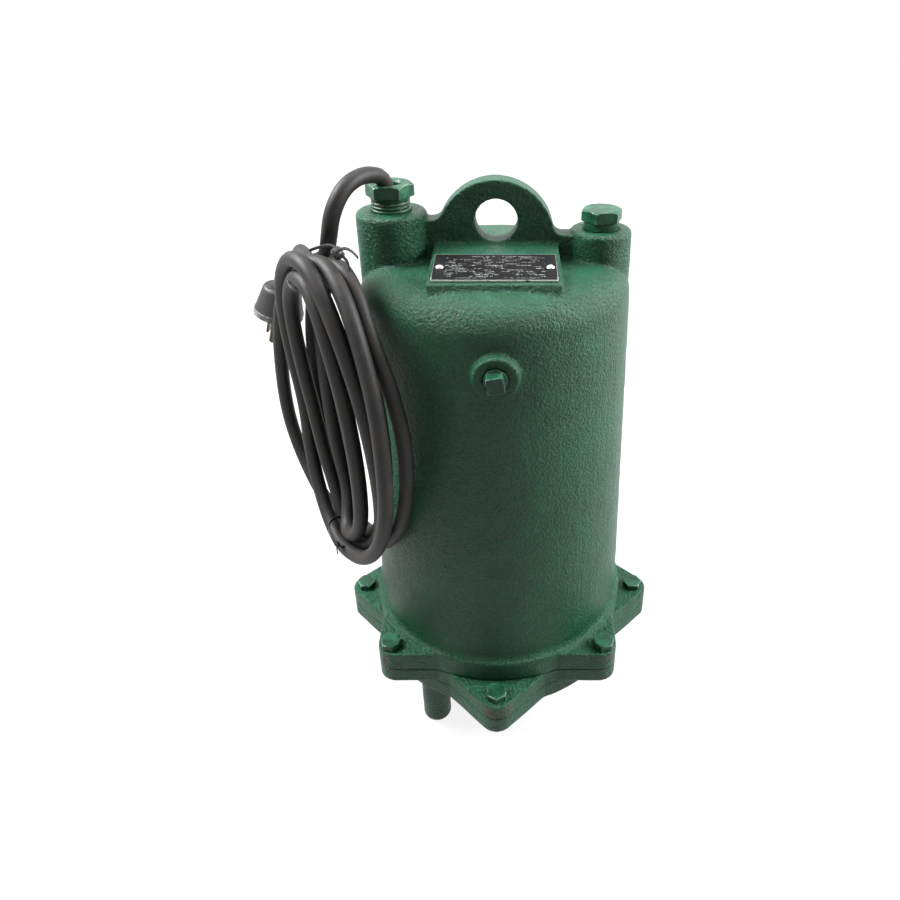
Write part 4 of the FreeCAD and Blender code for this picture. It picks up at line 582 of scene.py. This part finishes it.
def simpleFinish(name, dark, light, rough, scale, depth, metal=0.0, marks=None, coat=0.0):
    look = simpleLook
    material, tree, place = newMaterial(name)
    cloud = place.noise(scale, look["detail"], look["grain"])
    colour = cloud.band(*look["span"]).mix(dark, light)
    relief, up = cloud, place.axis("Z")
    if marks == "turned":
        waves = (place.reach(axisY) * look["rings"]).sine() + (up * look["ringsUp"]).sine()
    elif marks == "stack":
        waves = (up * look["sheets"]).sine()
        colour = waves.spread(0.5, 1.0).mix(colour, dark)
    elif marks == "wound":
        waves = (up * look["wires"] + cloud * look["wireWander"]).sine()
        colour = waves.spread(0.5, 1.0).mix(dark, light)
    if marks:
        ofCloud, ofWaves = look[marks]
        relief = cloud * ofCloud + waves * ofWaves
    setShader(tree, {"Base Color": colour, "Roughness": rough + cloud * look["roughMore"],
                     "Metallic": metal, "Normal": place.bump(relief, depth), "Coat Weight": coat,
                     "Coat Roughness": look["coatRough"]})
    return material


finishes = {slot: simpleFinish(**look) for slot, look in slotLooks.items()}
finishes["nameplate"] = plateFinish()
finishes["cord_jacket"] = cordRubber()
finishes["green_cast"] = paintedIron()
finishes["green_fitting"] = paintedSteel()
for node, slot in slotOf.items():
    slots = nodes[node].data.materials
    slots.clear()
    slots.append(finishes[slot])
agedBrass = simpleFinish(**prongLook)
for node in ("plug_blades", "plug_ground_pin"):
    nodes[node].data.materials[0] = agedBrass
print("stage: finishes")


# Castings and painted fittings: the CAD shapes on an even grid, with the soft corners and the uneven
# skin of a mould. The skin is given by its depth and its waves to a metre.
casting = {"grid": 0.88 * mm, "rounds": 1, "skin": (0.22 * mm, 70.0),
           "pieces": {"motor_housing": "motorHousingCast", "seal_housing": "sealPlateCast",
                      "volute_case": "voluteCast"}}
fitting = {"grid": 0.38 * mm, "rounds": 1, "skin": (0.05 * mm, 300.0),
           "pieces": {"housing_bolts": "housingBoltsPainted", "volute_bolts": "voluteBoltsPainted",
                      "gland_nut": "glandNutPainted", "top_port_plug": "portPlugPainted",
                      "oil_fill_plug": "oilPlugPainted"}}
# The housing's deck, with the lug and the bosses, is softened once more, from this height up.
deck = {"piece": "motor_housing", "from": 0.318, "fade": 0.012, "rounds": 1}
weldDistance = 1e-6


def onDeck(spots):
    return np.clip((spots[:, 2] - deck["from"]) / deck["fade"], 0, 1)


def everywhere(spots):
    return np.ones(len(spots))


def relax(mesh, rounds, weight):
    # Moves each point halfway to the mean of its neighbours, which rounds corners and fills roots.
    count = len(mesh.vertices)
    spots = np.empty(count * 3)
    mesh.vertices.foreach_get("co", spots)
    spots = spots.reshape(-1, 3)
    pairs = np.empty(len(mesh.edges) * 2, dtype=np.int64)
    mesh.edges.foreach_get("vertices", pairs)
    first, second = pairs.reshape(-1, 2).T
    shared = np.bincount(first, minlength=count) + np.bincount(second, minlength=count)
    share = 0.5 * weight(spots)[:, None]
    for _ in range(rounds):
        total = np.empty_like(spots)
        for k in range(3):
            total[:, k] = np.bincount(first, spots[second, k], count)
            total[:, k] += np.bincount(second, spots[first, k], count)
        spots = spots + (total / shared[:, None] - spots) * share
    mesh.vertices.foreach_set("co", spots.ravel())
    mesh.update()


def ripple(mesh, depth, scale, seed):
    # The uneven skin; the seed moves the noise, so that the pieces' skins differ.
    offset = Vector((seed, seed * 1.7, seed * 0.6))
    for point, facing in zip(mesh.vertices, [normal.vector.copy() for normal in mesh.vertex_normals]):
        point.co += facing * depth * noise.noise(point.co * scale + offset)


def keepInside(mesh, node):
    # No point leaves the node's own box.
    low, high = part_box(node)
    spots = np.empty(len(mesh.vertices) * 3)
    mesh.vertices.foreach_get("co", spots)
    mesh.vertices.foreach_set("co", np.clip(spots.reshape(-1, 3), np.array(low), np.array(high)).ravel())
    mesh.update()


def onGrid(shape, name, grid):
    # The shape's mesh, its loose seams joined, made again from an even grid of small faces.
    shell = bmesh.new()
    shell.from_mesh(shape)
    bmesh.ops.remove_doubles(shell, verts=shell.verts, dist=weldDistance)
    welded = bpy.data.meshes.new(name)
    shell.to_mesh(welded)
    shell.free()
    piece = addPiece(name, welded)
    remesh = piece.modifiers.new("grid", "REMESH")
    remesh.mode = "VOXEL"
    remesh.voxel_size = grid
    graph = bpy.context.evaluated_depsgraph_get()
    graph.update()
    mesh = bpy.data.meshes.new_from_object(piece.evaluated_get(graph))
    piece.modifiers.clear()
    piece.data = mesh
    bpy.data.meshes.remove(welded)
    return piece


def finishPiece(piece, slot, node):
    mesh = piece.data
    mesh.materials.clear()
    mesh.materials.append(finishes[slot])
    mesh.polygons.foreach_set("use_smooth", [True] * len(mesh.polygons))
    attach(piece, "pump")
    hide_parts(node)


def castCopy(node, name, look):
    piece = onGrid(nodes[node].data, name, look["grid"])
    relax(piece.data, look["rounds"], everywhere)
    if node == deck["piece"]:
        relax(piece.data, deck["rounds"], onDeck)
    depth, scale = look["skin"]
    ripple(piece.data, depth, scale, len(name))
    keepInside(piece.data, node)
    finishPiece(piece, slotOf[node], node)
    print("cast copy", name, len(piece.data.polygons))


for look in (casting, fitting):
    for node, name in look["pieces"].items():
        castCopy(node, name, look)
print("stage: castings")


# Ties: thin straps that hang loose round the coil, their points given along, up and out like the coil's.
topTie = {"loop": [(-7.5, 353.5, 101), (-20, 354, 98), (-34, 349.5, 98), (-44, 345, 102), (-50.5, 339.5, 106),
                   (-50, 335.0, 111), (-45, 332.5, 115), (-40.5, 331.0, 118), (-33, 329.5, 119.5),
                   (-27, 327, 114), (-20, 328, 102), (-14, 334, 94), (-9, 345, 94)],
          "tail": [(-7.5, 354.0, 101.5), (0, 357.5, 103), (8, 360.3, 104.5), (18, 361.6, 106),
                   (27, 361, 108)],
          "head": (-7.4, 353.0, 101.5), "headSize": (5.4, 4.4, 6.4)}
bottomTie = {"loop": [(-43, 157, 111), (-40.3, 156.5, 115), (-34, 158.5, 118), (-28, 157, 120),
                      (-23, 154.5, 120), (-20.5, 150.5, 117), (-22, 146, 108), (-28, 144, 99),
                      (-36, 146, 96), (-43, 151, 99), (-45, 156, 105)],
             "tail": [(-22.5, 153, 119), (-20, 151.5, 120.5), (-18, 149, 121)],
             "head": (-22.5, 153, 118.5), "headSize": (3.4, 3.2, 4.0)}
strap = {"half": 0.55 * mm, "edge": 0.35 * mm, "order": 3, "steps": 8, "roundness": 2,
         "headTilt": (0.3, 0.4, coilTurn), "headCorner": 0.7 * mm, "headSegments": 3}


def coilWorld(along, up, out):
    return fromShaft(*coilSpot(along, up, out))


def strapMesh(spots, closed):
    curve = bpy.data.curves.new("strapLine", "CURVE")
    curve.dimensions = "3D"
    curve.twist_mode = "Z_UP"
    spline = curve.splines.new("NURBS")
    spline.points.add(len(spots) - 1)
    for target, spot in zip(spline.points, spots):
        target.co = (*coilWorld(*spot), 1.0)
    spline.order_u = strap["order"]
    spline.use_cyclic_u = closed
    spline.use_endpoint_u = not closed
    spline.resolution_u = strap["steps"]
    curve.extrude = strap["half"]
    curve.bevel_depth = strap["edge"]
    curve.bevel_resolution = strap["roundness"]
    curve.use_fill_caps = True
    holder = bpy.data.objects.new("strapLine", curve)
    mesh = bpy.data.meshes.new_from_object(holder)
    bpy.data.objects.remove(holder)
    return mesh


def headMesh(place, size):
    head = bmesh.new()
    bmesh.ops.create_cube(head, size=1.0)
    bmesh.ops.scale(head, vec=[side * mm for side in size], verts=head.verts)
    bmesh.ops.bevel(head, geom=list(head.edges), offset=strap["headCorner"], segments=strap["headSegments"],
                    affect="EDGES")
    bmesh.ops.rotate(head, matrix=Euler(strap["headTilt"]).to_matrix(), verts=head.verts)
    bmesh.ops.translate(head, vec=coilWorld(*place), verts=head.verts)
    mesh = bpy.data.meshes.new("tieHead")
    head.to_mesh(mesh)
    head.free()
    return mesh


def makeTie(name, node, look):
    whole = bmesh.new()
    for mesh in (strapMesh(look["loop"], True), strapMesh(look["tail"], False),
                 headMesh(look["head"], look["headSize"])):
        whole.from_mesh(mesh)
        bpy.data.meshes.remove(mesh)
    mesh = bpy.data.meshes.new(name)
    whole.to_mesh(mesh)
    whole.free()
    piece = addPiece(name, mesh)
    finishPiece(piece, "tie_nylon", node)
    return piece


def finishCord():
    cordPiece.data.materials.append(finishes["cord_jacket"])
    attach(cordPiece, "pump")
    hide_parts("power_cord", "cord_coil", "cord_tail")
    exitSpot = fromShaft(*cord["exit"])
    onCord = [nodes[n] for n in ("plug_face", "plug_body", "plug_blades", "plug_ground_pin")]
    onCord += [makeTie("topTieStrap", "cable_tie_top", topTie),
               makeTie("bottomTieStrap", "cable_tie_bottom", bottomTie)]


finishCord()
print("stage: cord pieces")
